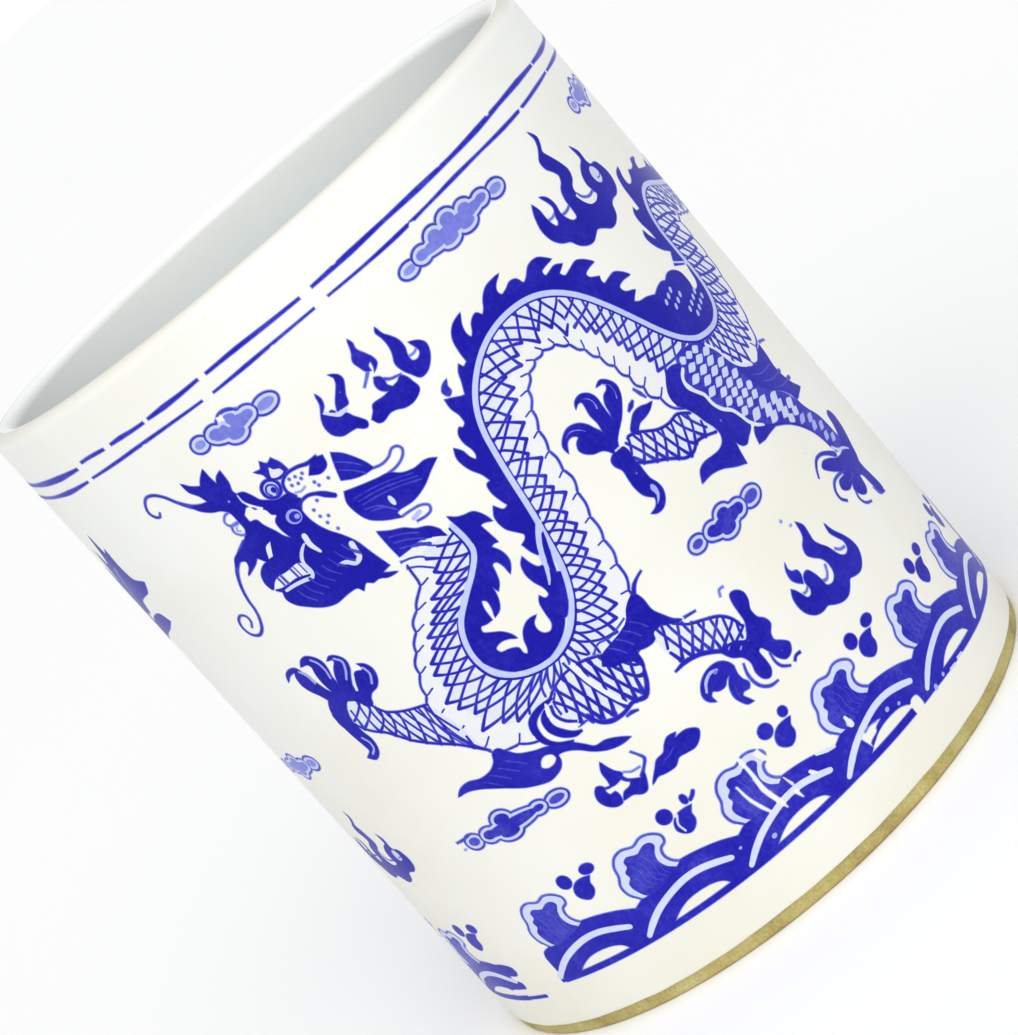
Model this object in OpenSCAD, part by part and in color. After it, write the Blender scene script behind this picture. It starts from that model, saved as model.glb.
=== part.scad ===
// Brush pot: a straight round porcelain pot for writing brushes. It stands on
// a bare foot ring, is glazed warm white inside and out, and has a cobalt
// blue print of a dragon, clouds, flames and waves. The print is one drawing
// that goes half way round, so it is on the pot twice.
// Millimetres, +Z up, z = 0 on the table, the Z axis is the pot's own axis.
// The middle of the front print faces -Y.

/* [Body] */
// Outside diameter over the glaze
outside_diameter = 100; // [80:1:130]
// Height from the table to the top of the lip
pot_height = 120; // [96:1:156]
// Wall from glaze face to glaze face
wall_thickness = 4; // [3:0.1:6]
// Porcelain floor without its glaze
floor_thickness = 5; // [3:0.5:9]
// Glaze coat
glaze_thickness = 0.3; // [0.15:0.05:0.5]
// Round corner inside between wall and floor
corner_radius = 6; // [2:0.5:10]

/* [Foot] */
// Width of the foot ring on the table
foot_width = 7.7; // [4:0.1:12]
// Depth of the hollow inside the foot ring
foot_depth = 3; // [1.5:0.1:5]
// Height of the bare band below the edge of the outer glaze
bare_band = 2; // [0.5:0.1:2.8]
// Rounding of the foot's outer edge
foot_rounding = 0.6; // [0.2:0.1:1]

/* [Print] */
// Thickness of the blue print layer
print_thickness = 0.1; // [0.05:0.05:0.2]
// Height of the upper rim line above the table
upper_line_height = 111.6; // [100:0.1:116]
// Width of the upper rim line
upper_line_width = 0.7; // [0.3:0.1:1.5]
// Height of the lower rim line above the table
lower_line_height = 109.2; // [98:0.1:114]
// Width of the lower rim line
lower_line_width = 0.5; // [0.3:0.1:1.5]
// Foot of the wave band above the table
wave_foot = 9.4; // [6:0.1:14]
// Height of each wave hump
wave_height = 7.6; // [4:0.1:12]
// Length of each wave hump round the pot
wave_length = 18.75; // [15:0.05:19.5]

/* [Hidden] */
outer_r = outside_diameter / 2;
body_r = outer_r - glaze_thickness;
inner_r = outer_r - wall_thickness;
bore_r = inner_r + glaze_thickness;
lip_r = wall_thickness / 2;
lip_mid_r = outer_r - lip_r;
lip_z = pot_height - lip_r;
floor_z = foot_depth + floor_thickness;
foot_inner_r = body_r - foot_width;
corner_z = floor_z + corner_radius;
corner_r = bore_r - corner_radius;
// The drawing is laid out for a pot of 100 mm by 120 mm and follows its size
drawing_width = 157.08;
turn = 180 / drawing_width;
rise = pot_height / 120;
hair_gap = 0.02;
$fn = 96;

foot_ring();
porcelain_wall();
floor_slab();
outer_glaze();
inner_glaze();
base_glaze();
rim_line_upper();
rim_line_lower();
front_dragon();
back_dragon();
front_clouds();
back_clouds();
front_flames();
back_flames();
front_waves();
back_waves();
front_drops();
back_drops();

// ---- colours ----

module biscuit() color([0.74, 0.66, 0.47]) children();
module porcelain() color([0.88, 0.86, 0.80]) children();
module glaze() color([0.95, 0.95, 0.92]) children();
module cobalt() color([0.14, 0.12, 0.66]) children();

// ---- the fired body ----

// Ring that the pot stands on, with its outer edge rounded off
module foot_ring() biscuit() rotate_extrude() {
    difference() {
        translate([foot_inner_r, 0]) square([foot_width, foot_depth]);
        translate([body_r - foot_rounding, 0]) square([foot_rounding, foot_rounding]);
    }
    intersection() {
        translate([body_r - foot_rounding, foot_rounding]) circle(r = foot_rounding, $fn = 48);
        translate([body_r - foot_rounding, 0]) square([foot_rounding, foot_rounding]);
    }
}

// Straight wall between the two glaze coats, from the hollow corner up to a half-round top
module porcelain_wall() porcelain() rotate_extrude() {
    translate([bore_r, corner_z]) square([body_r - bore_r, lip_z - corner_z]);
    intersection() {
        translate([lip_mid_r, lip_z]) circle(r = lip_r - glaze_thickness, $fn = 64);
        translate([bore_r, lip_z]) square([body_r - bore_r, lip_r]);
    }
}

// Floor with the hollow corner that leads up to the wall
module floor_slab() porcelain() rotate_extrude() {
    translate([0, foot_depth]) square([body_r, floor_thickness]);
    difference() {
        translate([corner_r, floor_z]) square([body_r - corner_r, corner_radius]);
        translate([corner_r, corner_z]) circle(r = corner_radius, $fn = 64);
    }
}

// ---- the glaze coats ----

// Half of the coat over the lip: side 0 is the outside, side 1 the inside
module lip_coat(side) intersection() {
    difference() {
        translate([lip_mid_r, lip_z]) circle(r = lip_r, $fn = 64);
        translate([lip_mid_r, lip_z]) circle(r = lip_r - glaze_thickness, $fn = 64);
    }
    translate([lip_mid_r - side * lip_r, lip_z]) square([lip_r, lip_r]);
}

// Coat on the outside, from the bare band up to the top of the lip
module outer_glaze() glaze() rotate_extrude() {
    translate([body_r, bare_band]) square([glaze_thickness, lip_z - bare_band]);
    lip_coat(0);
}

// Coat on the inside, over the wall, the hollow corner and the floor
module inner_glaze() glaze() rotate_extrude() {
    translate([inner_r, corner_z]) square([glaze_thickness, lip_z - corner_z]);
    translate([0, floor_z]) square([corner_r, glaze_thickness]);
    intersection() {
        difference() {
            translate([corner_r, corner_z]) circle(r = corner_radius, $fn = 64);
            translate([corner_r, corner_z]) circle(r = corner_radius - glaze_thickness, $fn = 64);
        }
        translate([corner_r, floor_z]) square([corner_radius, corner_radius]);
    }
    lip_coat(1);
}

// Coat on the underside, inside the foot ring
module base_glaze() glaze()
    translate([0, 0, foot_depth - glaze_thickness]) cylinder(r = foot_inner_r, h = glaze_thickness);

// ---- how the print is laid on the wall ----

// One stretch of print: the flat drawing pushed out from the axis and kept
// only where it meets a thin shell between two bearings round the pot. Two
// stretches that follow each other are a hair apart.
module printed(from, to, low, high) {
    $middle = (from + to) / 2;
    intersection() {
        rotate([0, 0, (from + hair_gap) * turn - 90])
            rotate_extrude(angle = (to - from - 2 * hair_gap) * turn)
            translate([outer_r, low * rise]) square([print_thickness, (high - low) * rise]);
        rotate([0, 0, $middle * turn]) rotate([90, 0, 0]) linear_extrude(height = outer_r + 2)
            children();
    }
}

// Second print, half way round the pot from the first
module at_back() rotate([0, 0, 180]) children();

// Distance sideways of a bearing in the drawing, seen from its middle
function across(u) = outer_r * sin((u - $middle) * turn);

module outline(points) polygon([for (p = points) [across(p[0]), p[1] * rise]]);

// Arc of an ellipse as a list of points
function arc(u, z, half_width, half_height, start, end, steps) =
    [for (i = [0 : steps])
        let (a = start + (end - start) * i / steps)
        [u + half_width * cos(a), z + half_height * sin(a)]];

// ---- rim lines, each printed as a strip with a gap where its ends meet ----

module line_piece(from, to, middle_z, width)
    rotate([0, 0, from * turn - 90]) rotate_extrude(angle = (to - from) * turn)
        translate([outer_r, (middle_z - width / 2) * rise]) square([print_thickness, width * rise]);

module upper_line_half() {
    breaks = [[-46.3, -40], [-38.3, -31], [-30, -20], [-18.5, -2], [0, 110.4]];
    for (b = breaks) line_piece(b[0], b[1], upper_line_height, upper_line_width);
}

module lower_line_half() {
    breaks = [[-46.3, -21.5], [-19.5, -1.5], [1, 110.4]];
    for (b = breaks) line_piece(b[0], b[1], lower_line_height, lower_line_width);
}

module rim_line_upper() cobalt() { upper_line_half(); at_back() upper_line_half(); }
module rim_line_lower() cobalt() { lower_line_half(); at_back() lower_line_half(); }

// ---- dragon ----

// Muzzle with its crown, eyes, brow and bearded jaw
module head() outline([
    [-34.5, 97.9], [-32, 97.8], [-33.3, 101.6], [-30.9, 99.8], [-29, 101.6], [-28.7, 98.9],
    [-27, 100], [-27.4, 96.4], [-26, 95.6], [-23.9, 93], [-23.6, 95], [-21.8, 95.2], [-22.8, 97.2],
    [-21, 97.8], [-19.5, 97.2], [-19, 94.6], [-17.5, 94.5], [-13.9, 93.6], [-14.4, 92], [-16.8, 92],
    [-20.2, 90.4], [-17.8, 90], [-16.2, 88.1], [-21.2, 88.4], [-21, 86], [-18.5, 82], [-17.2, 76],
    [-20, 75.5], [-27, 76], [-31, 77.7], [-32.9, 79.8], [-32.4, 81.4], [-33.8, 82.6], [-33.6, 84.6],
    [-32.2, 85.8], [-34.9, 86], [-33.4, 87.4], [-36.2, 88], [-34, 89.4], [-31.2, 90.4],
    [-32.1, 92.4], [-31.8, 94.6], [-30.2, 95], [-32, 96.2]]);

// Curling feelers of the nose and the chin
module upper_feeler() outline(concat(
    arc(-39.9, 100.6, 2.3, 2.5, 20, 200, 10), [[-41.6, 99.8], [-40.2, 99.3], [-40, 100.3],
    [-40.9, 99.9], [-41.6, 100.8]], arc(-39.9, 100.6, 1.8, 2, 180, 30, 8), [[-34.4, 98]]));

module chin_feeler() outline([
    [-36.2, 88.2], [-38.4, 85], [-39, 82], [-39.8, 79.6], [-42, 78.2], [-43.1, 80], [-42.2, 81],
    [-41.1, 80.3], [-42, 79.3], [-40.6, 80.4], [-41.8, 81.6], [-43.8, 80.4], [-43.4, 78.2],
    [-42, 77.4], [-39.4, 79], [-38.5, 82], [-37.6, 85.4], [-35.2, 88.2]]);

// Locks of hair and the horns behind the head
module hair() {
    outline([[-12.5, 92.9], [-14, 89], [-9.5, 87.8], [-10.4, 90]]);
    outline([[-14.7, 87.6], [-15.5, 86], [-15.2, 83.2], [-13.4, 81.4], [-11, 80.2], [-8, 80.9],
             [-5.5, 81.8], [-2.4, 83.3], [-6, 84.5], [-9, 86.3], [-12, 86.7]]);
    outline([[-9.6, 87.6], [-6.6, 87.9], [-5.3, 88.3], [-4.9, 87.4], [-6.4, 86.1], [-9, 86.2]]);
    outline([[-15, 80.4], [-15, 76.1], [-11.5, 76], [-8, 74.3], [-9, 76.6], [-11.4, 78.8]]);
}

// Scaled body, one piece from the throat round the low bend
module low_bend() outline([
    [-15.8, 75.6], [-15, 70.5], [-16.5, 69.8], [-20.5, 66], [-23, 62.8], [-25.3, 59], [-26.8, 55],
    [-26.8, 51.5], [-25.5, 48.5], [-23.9, 46.2], [-17.8, 44.8], [-16.8, 42.2], [-14.3, 40.8],
    [-9.5, 42], [-9.2, 40.2], [-7, 39.2], [-2, 39], [-0.5, 41], [0.8, 44], [3.2, 45.6], [6, 50],
    [5.5, 53.5], [6.9, 57], [7.9, 62], [8.4, 65], [2.5, 65], [1, 61.5], [-0.3, 57.5], [-3, 54],
    [-6.5, 51.8], [-10, 51.2], [-13.5, 52.5], [-16, 55], [-17, 58.5], [-16.3, 61.5], [-14, 64.5],
    [-10.5, 67], [-7.5, 69.3], [-6.6, 71], [-7.2, 73.4], [-9.4, 75.7]]);

// The high arch of the body
module arch() outline([
    [2.5, 65], [3.2, 69], [4, 75], [5, 80], [6.2, 84], [8.2, 87], [11, 89.4], [14.5, 90.4],
    [18, 90.6], [21.5, 90], [25, 88.2], [28, 85.3], [31, 81], [33, 76.8], [36, 72], [36, 60],
    [31, 60], [28.3, 65], [27, 69.5], [26, 74], [24.5, 78], [22.4, 81.6], [20, 83.6], [17.5, 84],
    [13.8, 82], [11.8, 79.8], [10.8, 76.5], [9.3, 72], [9.4, 68], [8.4, 65]]);

// The bend by the hind leg and the body that goes on to the right of it
module hind_bend() outline([
    [36, 72], [39, 69], [42, 67.3], [46, 67.2], [49.3, 69], [51.2, 72.5], [51.6, 78], [51.9, 82.5],
    [53, 85.5], [55.5, 86.9], [59, 86.9], [64, 85.3], [68, 84], [68, 79], [64, 80], [60, 81],
    [58.6, 78], [59, 75], [58, 70.5], [56, 66.5], [53, 62.8], [49.5, 60], [46.5, 59.4], [43.8, 60.6],
    [36, 60]]);

module tail() {
    outline([[68, 84], [74, 82.2], [80, 83.2], [85, 86.6], [89, 91], [92, 90], [88, 84.6],
             [82, 80], [75, 78], [68, 79]]);
    outline([[88, 90], [89.5, 95.5], [92.5, 94.4], [95, 101.5], [96.2, 96.2], [98.6, 97], [97, 92.6],
             [100.6, 92], [97.6, 89.6], [94, 89.6], [92, 87.6], [97.8, 86.2], [94, 83], [89, 83.6],
             [87.4, 86]]);
}

// Flame-shaped fins along the back, with the pale backbone left free
module fins_in_low_bend() outline([
    [-6.3, 76], [-5.2, 75], [-3, 74], [-2.3, 72], [-3.7, 72.3], [-3.5, 69.8], [-4.7, 69],
    [-4, 66.5], [-5, 64.8], [-5.2, 67], [-6, 67.3], [-6.7, 65], [-7.7, 64], [-8.3, 62.7],
    [-10.5, 61.3], [-10.1, 63.8], [-10.9, 63.6], [-11.3, 61.3], [-12.9, 61.2], [-13.1, 60],
    [-11.5, 59], [-10.3, 57.2], [-12.5, 58], [-13.3, 57], [-11.3, 56], [-10.8, 54.5], [-9.6, 56.2],
    [-8.2, 57.6], [-6.3, 57.7], [-7.3, 56.2], [-6.6, 54.9], [-5.3, 55.2], [-4.5, 59.3], [-3.4, 58.7],
    [-3.5, 62], [-2.5, 65], [-1.6, 62.8], [-0.6, 62.6], [-1.7, 58.8], [-4, 55.2], [-6.8, 53],
    [-10, 52.3], [-13.2, 53.6], [-15.4, 56.4], [-15.6, 59.6], [-13.4, 63.4], [-9.8, 66.4],
    [-6.6, 69.2], [-5.8, 71.4]]);

module fins_on_neck() outline([
    [-0.4, 64], [1.6, 66.8], [2.4, 69], [3, 75], [4, 80], [5, 83.5], [6.8, 86.6], [8, 88], [7, 89.5],
    [6, 87.4], [5, 87.7], [3.5, 88.4], [3.9, 86], [3.6, 84], [2.3, 84.1], [1.9, 82.5], [2.1, 80.6],
    [1.6, 79.6], [0.9, 81], [0.2, 82.5], [-0.2, 80.6], [1, 77], [0.3, 75.3], [0.8, 72.2],
    [-0.1, 71.8], [-0.8, 73], [-1.6, 71.5], [-1.3, 69.6], [0, 68], [-1.1, 66.5]]);

module fins_on_arch() outline([
    [7, 89.5], [8.2, 90.6], [9.4, 90.2], [9.7, 92.6], [10.6, 94.8], [12.9, 95.6], [11.7, 93.5],
    [12, 92.2], [13.2, 93.4], [14.4, 94.2], [15.2, 93.3], [16.4, 94.6], [18, 95.8], [20.7, 95.9],
    [19, 94.6], [19.1, 93.5], [20.4, 93.4], [22, 93.9], [22.9, 92.5], [25, 93.6], [27, 93.7],
    [28.7, 92.3], [26.4, 91.9], [26.5, 91], [29.5, 90.6], [28.3, 89.9], [29, 88.9], [31.6, 89.3],
    [34.1, 87.5], [31.7, 87.1], [33.1, 85.2], [33.2, 84.1], [35.8, 84.2], [37.9, 82.5], [34.9, 82.2],
    [36.6, 80.2], [34.4, 79.6], [33, 78.4], [31, 82.2], [28.4, 86.2], [25.4, 89.3], [22, 91.2],
    [18, 91.7], [13.6, 91.1], [10.2, 89.4], [8, 88]]);

module fins_in_hind_bend() outline([
    [34, 77.4], [35.2, 79.2], [38, 78.3], [39.5, 77.5], [41.4, 78], [43.3, 77.5], [45.4, 77.7],
    [47.4, 76.2], [48, 77.8], [49.4, 79.4], [46.7, 82.2], [46.9, 84.4], [48.3, 82.4], [48, 86.4],
    [48.8, 87.5], [50.4, 86.9], [50.8, 90], [51.4, 92], [53.5, 92.6], [52.4, 90.6], [54, 89.7],
    [56, 91], [58, 90.4], [60, 91.4], [62, 91.3], [60.4, 89.9], [64, 88.6], [68, 87.4], [68, 85.6],
    [64, 86.5], [59.5, 88], [55, 88.2], [52, 86.8], [50.4, 84], [50.1, 79], [49.9, 74], [48.4, 70.6],
    [46, 68.5], [42.4, 68.4], [39, 70.4], [36.2, 73.6]]);

module fins_on_tail() outline([
    [68, 87.4], [71, 88.6], [72, 86.4], [75, 86.8], [78, 88.6], [79, 86.4], [82, 88.6], [84, 91.6],
    [84.6, 88.6], [88, 92], [84.4, 87.2], [79.6, 84.4], [74, 83.4], [68, 85.6]]);

// Fore leg on the left with four raised claws and one hanging spur
module left_leg() {
    outline([[-26.8, 56.8], [-31, 58], [-33.9, 59.7], [-34, 61.4], [-33, 62.3], [-38, 65.4],
             [-40.2, 64.4], [-41.6, 62.2], [-41.7, 59.6], [-41, 55.2], [-42.2, 54.2], [-40.8, 53.5],
             [-39.4, 54.8], [-39, 58.2], [-36, 56.3], [-33.6, 53], [-29, 50.6], [-25.9, 48]]);
    outline([[-40.1, 64.3], [-42.4, 68.2], [-42.3, 70.2], [-44.3, 69.6], [-42.2, 71.2],
             [-40.4, 70.2], [-38.7, 65.4]]);
    outline([[-38.3, 65.2], [-38.5, 68.4], [-38, 70.4], [-39.8, 70.8], [-38, 71.7], [-36, 70.2],
             [-36, 68], [-37, 65.2]]);
    outline([[-36.9, 65], [-35.9, 67.4], [-34.2, 69], [-35.2, 69.7], [-33.6, 69.8], [-32.5, 68.4],
             [-33.6, 65.8], [-34.8, 64]]);
    outline([[-34.5, 63.8], [-33, 65.9], [-31.2, 65.6], [-31.2, 67], [-30, 65.6], [-31, 63.2],
             [-33.4, 62.3]]);
}

// Fore leg that goes down to the right of the low bend
module low_leg() {
    outline([[-1, 46], [2, 48.4], [5.2, 51], [8.4, 52.7], [6.2, 50.4], [6.3, 47], [7.4, 44.8],
             [12, 41.4], [14, 38.8], [14.5, 36.6], [15.5, 37], [15.3, 39.6], [16, 41.4], [17.7, 40.4],
             [17.4, 38], [16.8, 36.4], [17.8, 34.6], [16.5, 33], [18.1, 30.6], [17, 29], [18.5, 28.4],
             [16.8, 28], [15, 29.6], [14.6, 32], [13.7, 32.6], [13.6, 29.4], [13.2, 27.8], [11, 28.6],
             [10.6, 30.6], [11.8, 33.4], [9.9, 35.2], [9.8, 36.8], [4, 39], [4, 42], [2.8, 44]]);
    outline([[9.6, 33.4], [9.9, 30.4], [8.4, 29.6], [8.7, 28.2], [7.2, 29.4], [7, 31.6], [7.9, 32.8],
             [5.6, 32.6], [4.8, 31.9], [3.8, 33.6], [5, 35.2], [7.4, 35.8], [9, 35]]);
}

// Tufts that stream from the fore legs and the hip
module tufts() {
    outline([[-33.4, 42.8], [-30.6, 43.9], [-27, 43.2], [-24, 46], [-22, 44.4], [-18.4, 42.4],
             [-15.8, 41.4], [-13.4, 39.4], [-11.4, 37.7], [-7.4, 35.9], [-11.6, 37], [-14.2, 39.2],
             [-16.9, 40.4], [-17.3, 38.8], [-19.6, 37.9], [-23.4, 39], [-28, 41.4]]);
    outline([[24, 55], [26, 56.8], [29.6, 56.2], [33, 57.6], [37.4, 54.2], [40, 52.6], [36, 52.2],
             [33.6, 53.8], [32, 52.2], [28.4, 54.4]]);
}

// Hind leg seen under the arch
module far_leg() {
    outline([[30, 61], [28, 60.2], [25.4, 58.9], [22, 61.6], [18.6, 63.6], [18.2, 61], [18.8, 59],
             [17.4, 57.1], [15.3, 57.4], [17, 59], [15.9, 61], [15.7, 64], [15.5, 66.4], [16.6, 67.4],
             [14, 69], [13.3, 70.8], [14.5, 72.3], [12.8, 72.8], [11.6, 71.9], [13.6, 74.1],
             [15.8, 73], [17.4, 70.4], [17.7, 74.4], [16.8, 75.6], [18.8, 76.1], [20, 73.6],
             [19.9, 71.2], [21.6, 73.8], [22.4, 74.4], [21, 75.4], [23.2, 74.2], [23, 72.2],
             [20.6, 70], [18.4, 68.4], [19.6, 67.2], [22.4, 68.9], [25.8, 68.3], [22.2, 67.2],
             [24, 65.1], [29, 64.4]]);
}

// Hind leg on the right, its thigh, its skin flap and its spread foot
module right_leg() {
    outline([[33.6, 70], [30.8, 68.8], [29, 66.4], [29.4, 63.4], [31.4, 60], [33, 57], [37, 54.6],
             [44.4, 50.8], [48, 46.6], [48.4, 42.4], [46.4, 42.6], [43.8, 43.8], [41, 42],
             [44.4, 42.2], [46, 40], [43.6, 40], [41.4, 37.6], [42.8, 36.4], [43.6, 38.2],
             [46.4, 38], [45.6, 35], [47.4, 32.8], [48, 35], [50, 35.6], [50.4, 33], [52.4, 31.4],
             [52.6, 34], [52.2, 38], [54.8, 40.4], [56.8, 44.8], [54.4, 45.2], [52, 42.6],
             [51.8, 45.6], [49.6, 49.6], [50, 52], [53, 51.4], [51, 55.6], [51.6, 60], [49.5, 60],
             [46.5, 59.4], [43.8, 60.6], [42.6, 64], [40, 69], [36, 72]]);
}

module dragon() {
    printed(-47, -5, 33, 105) {
        head(); upper_feeler(); chin_feeler(); hair(); low_bend(); fins_in_low_bend(); left_leg();
        tufts();
    }
    printed(-5, 31, 27, 98) {
        hair(); low_bend(); arch(); fins_in_low_bend(); fins_on_neck(); fins_on_arch(); low_leg();
        far_leg(); right_leg(); tufts();
    }
    printed(31, 68, 27, 98) {
        arch(); hind_bend(); fins_on_arch(); fins_in_hind_bend(); right_leg(); tufts();
    }
    printed(68, 102, 74, 104) { tail(); fins_on_tail(); }
}

module front_dragon() cobalt() dragon();
module back_dragon() cobalt() at_back() dragon();

// ---- clouds: a scalloped centre lobe with a curl on each side ----

module cloud(u, z, w, h) outline(concat(
    arc(u + 0.38 * w, z - 0.05 * h, 0.12 * w, 0.3 * h, -90, 90, 8),
    arc(u + 0.24 * w, z + 0.14 * h, 0.11 * w, 0.2 * h, 20, 150, 6),
    arc(u, z + 0.2 * h, 0.14 * w, 0.3 * h, 10, 170, 8),
    arc(u - 0.24 * w, z + 0.14 * h, 0.11 * w, 0.2 * h, 30, 160, 6),
    arc(u - 0.38 * w, z - 0.05 * h, 0.12 * w, 0.3 * h, 90, 270, 8),
    arc(u, z - 0.2 * h, 0.2 * w, 0.3 * h, 190, 350, 8)));

module clouds() {
    printed(-32, -10, 98, 110) cloud(-20.5, 104, 15, 4.8);
    printed(6, 35, 98, 112) cloud(20.3, 105, 22, 5.2);
    printed(50, 80, 98, 110) cloud(63.5, 103.4, 19, 5);
    printed(12, 35, 44, 55) cloud(23.2, 49, 15.5, 4.6);
    printed(-44, -16, 31, 42) cloud(-29.8, 35.4, 20.5, 4.4);
    printed(82, 112, 51, 62) cloud(95.5, 56, 19, 4.8);
}

module front_clouds() cobalt() clouds();
module back_clouds() cobalt() at_back() clouds();

// ---- flames ----

module flame_three_tongues(u, z, s) outline([for (p = [
    [-8, 4.4], [-9.4, 1.6], [-9.2, -1.2], [-7, -3.4], [-5.4, -5], [-3.4, -5.8], [-1, -5], [2.2, -6.6],
    [5, -4.6], [7, -4.2], [9.2, -3.6], [9.8, -0.8], [8, 1.2], [7, 3.4], [6.3, 5.2], [5.6, 2.4],
    [3.8, 0.8], [2.4, -2.4], [0.2, 0], [2.3, 3.2], [0.8, 7], [0.8, 11], [-1.2, 7.4], [0, 4.2],
    [-2.2, 1], [-2.8, -2], [-4.8, 0], [-5.8, 3.8], [-6.6, -0.4], [-7.4, 0.8]])
    [u + s * p[0], z + s * p[1]]]);

module broken_flame() {
    outline([[-9.1, 100.3], [-9, 98.4], [-8.1, 96.1], [-7, 95.3], [-6.2, 92.9], [-7.6, 93.4],
             [-9.9, 93.8], [-10.9, 95.2], [-10.7, 96.8], [-9.6, 98.2]]);
    outline([[-7.9, 96.9], [-7.3, 98.1], [-5.6, 100.4], [-4.8, 100.3], [-5, 98.8], [-6.4, 96.7]]);
    outline([[-5.1, 92.9], [-4.7, 91.9], [-2.5, 91.9], [0.3, 91.1], [2.1, 91.9], [1.4, 94.8],
             [0, 94.6], [-1.4, 97], [-1.9, 95.4], [-1.6, 94.4], [-4, 94.3]]);
    outline([[-1.3, 102.4], [-2.2, 100.1], [-1.6, 98.2], [-0.7, 98.9], [0.1, 98.9], [-0.3, 100]]);
    outline([[2.8, 102], [2.9, 98.7], [1.9, 96.5], [3.2, 93], [5, 93.3], [6.6, 95], [6.4, 96.6],
             [5.1, 97.4], [5.4, 95.8], [4.2, 95.4], [4.2, 98.7]]);
}

module low_flame() {
    outline([[-16.8, 31.4], [-15.7, 33.1], [-14.2, 32], [-13.2, 35.4], [-11.8, 31.6], [-8, 32.4],
             [-7.4, 31], [-4, 32.5], [-1, 31.8], [0.3, 30.4], [-1.6, 29], [-6, 28.7], [-10.6, 28.4],
             [-14.2, 29.2], [-16.4, 30]]);
    outline([[-8.8, 34.3], [-7.6, 32.4], [-8.2, 32.1]]);
}

module flames() {
    printed(-14, 10, 88, 106) broken_flame();
    printed(27, 54, 86, 108) flame_three_tongues(40, 95, 1);
    printed(-20, 4, 26, 38) low_flame();
    printed(20, 42, 26, 46) flame_three_tongues(31, 33.4, 0.78);
    printed(84, 108, 30, 48) flame_three_tongues(96, 37.4, 0.8);
}

module front_flames() cobalt() flames();
module back_flames() cobalt() at_back() flames();

// ---- waves and spray ----

wave_start = -44;

// One hump with its pale arc and its pale half moon
module wave_hump(u) difference() {
    outline(concat([[u - wave_length / 2, wave_foot]],
        arc(u, wave_foot + 3.2, wave_length / 2, wave_height - 3.2, 180, 0, 14),
        [[u + wave_length / 2, wave_foot]]));
    outline(concat(arc(u - 0.6, wave_foot + 0.6, 8.6, 5.3, 165, 30, 10),
                   arc(u - 0.6, wave_foot + 0.6, 7.8, 4.4, 30, 165, 10)));
    outline(concat(arc(u, wave_foot + 0.8, 5, 2, 180, 0, 10)));
}

// Foam that stands on a hump
module wave_crest(u) {
    outline([[u - 3.4, 16], [u - 4.4, 18.4], [u - 3.8, 21], [u - 2.6, 23], [u - 0.4, 23.4],
             [u + 1.4, 23.2], [u + 3.4, 22.6], [u + 4, 21.2], [u + 2.6, 20], [u + 2.8, 18.2],
             [u + 4, 16.6]]);
}

module waves() for (i = [0 : 7]) {
    from = wave_start + i * wave_length;
    printed(from, from + wave_length, 9, 24.5) {
        wave_hump(from + wave_length / 2);
        wave_crest(from + wave_length / 2 - 3.6);
    }
}

module front_waves() cobalt() waves();
module back_waves() cobalt() at_back() waves();

module drop(u, z, r) translate([across(u), z * rise]) circle(r = r * rise, $fn = 48);

module drops() {
    middles = [for (i = [0 : 7]) wave_start + wave_length * (i + 1) - 3.1];
    for (m = middles) printed(m - 5, m + 6, 19, 26.5) {
        drop(m - 1.3, 23.7, 1.2);
        drop(m, 21.4, 1.5);
        drop(m + 2.8, 24, 1);
    }
}

module front_drops() cobalt() drops();
module back_drops() cobalt() at_back() drops();
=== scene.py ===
import math

import bpy
import numpy as np
from mathutils import Matrix, Vector
from mathutils.geometry import delaunay_2d_cdt


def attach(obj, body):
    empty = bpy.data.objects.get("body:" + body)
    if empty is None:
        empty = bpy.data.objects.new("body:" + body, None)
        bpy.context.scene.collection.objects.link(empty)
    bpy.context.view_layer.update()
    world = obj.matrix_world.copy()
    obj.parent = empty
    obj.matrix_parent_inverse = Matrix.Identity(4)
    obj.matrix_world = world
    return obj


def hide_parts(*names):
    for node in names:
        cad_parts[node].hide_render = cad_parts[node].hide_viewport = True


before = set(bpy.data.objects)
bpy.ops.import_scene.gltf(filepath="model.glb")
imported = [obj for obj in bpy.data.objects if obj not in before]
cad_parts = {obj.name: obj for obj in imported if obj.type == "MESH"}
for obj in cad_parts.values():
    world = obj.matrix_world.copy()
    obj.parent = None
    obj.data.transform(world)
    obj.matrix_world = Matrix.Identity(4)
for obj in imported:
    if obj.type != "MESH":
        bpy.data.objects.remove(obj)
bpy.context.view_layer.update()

MM = 0.001
OUTER_R = 50.0      # glazed outside of the pot, mm
WALL = 4.0
HEIGHT = 120.0
LIP_R = WALL / 2

# ---- drawing tools: a drawing is flat, u mm round the pot and z mm up it ----
# One drawing reaches half way round, and it is laid on twice.

C = 1               # third value of a point that is a sharp corner
STEP = 0.45         # mm between the points of a drawn curve
BLEED = 0.26        # soft edge of the cobalt under the glaze, mm


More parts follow.
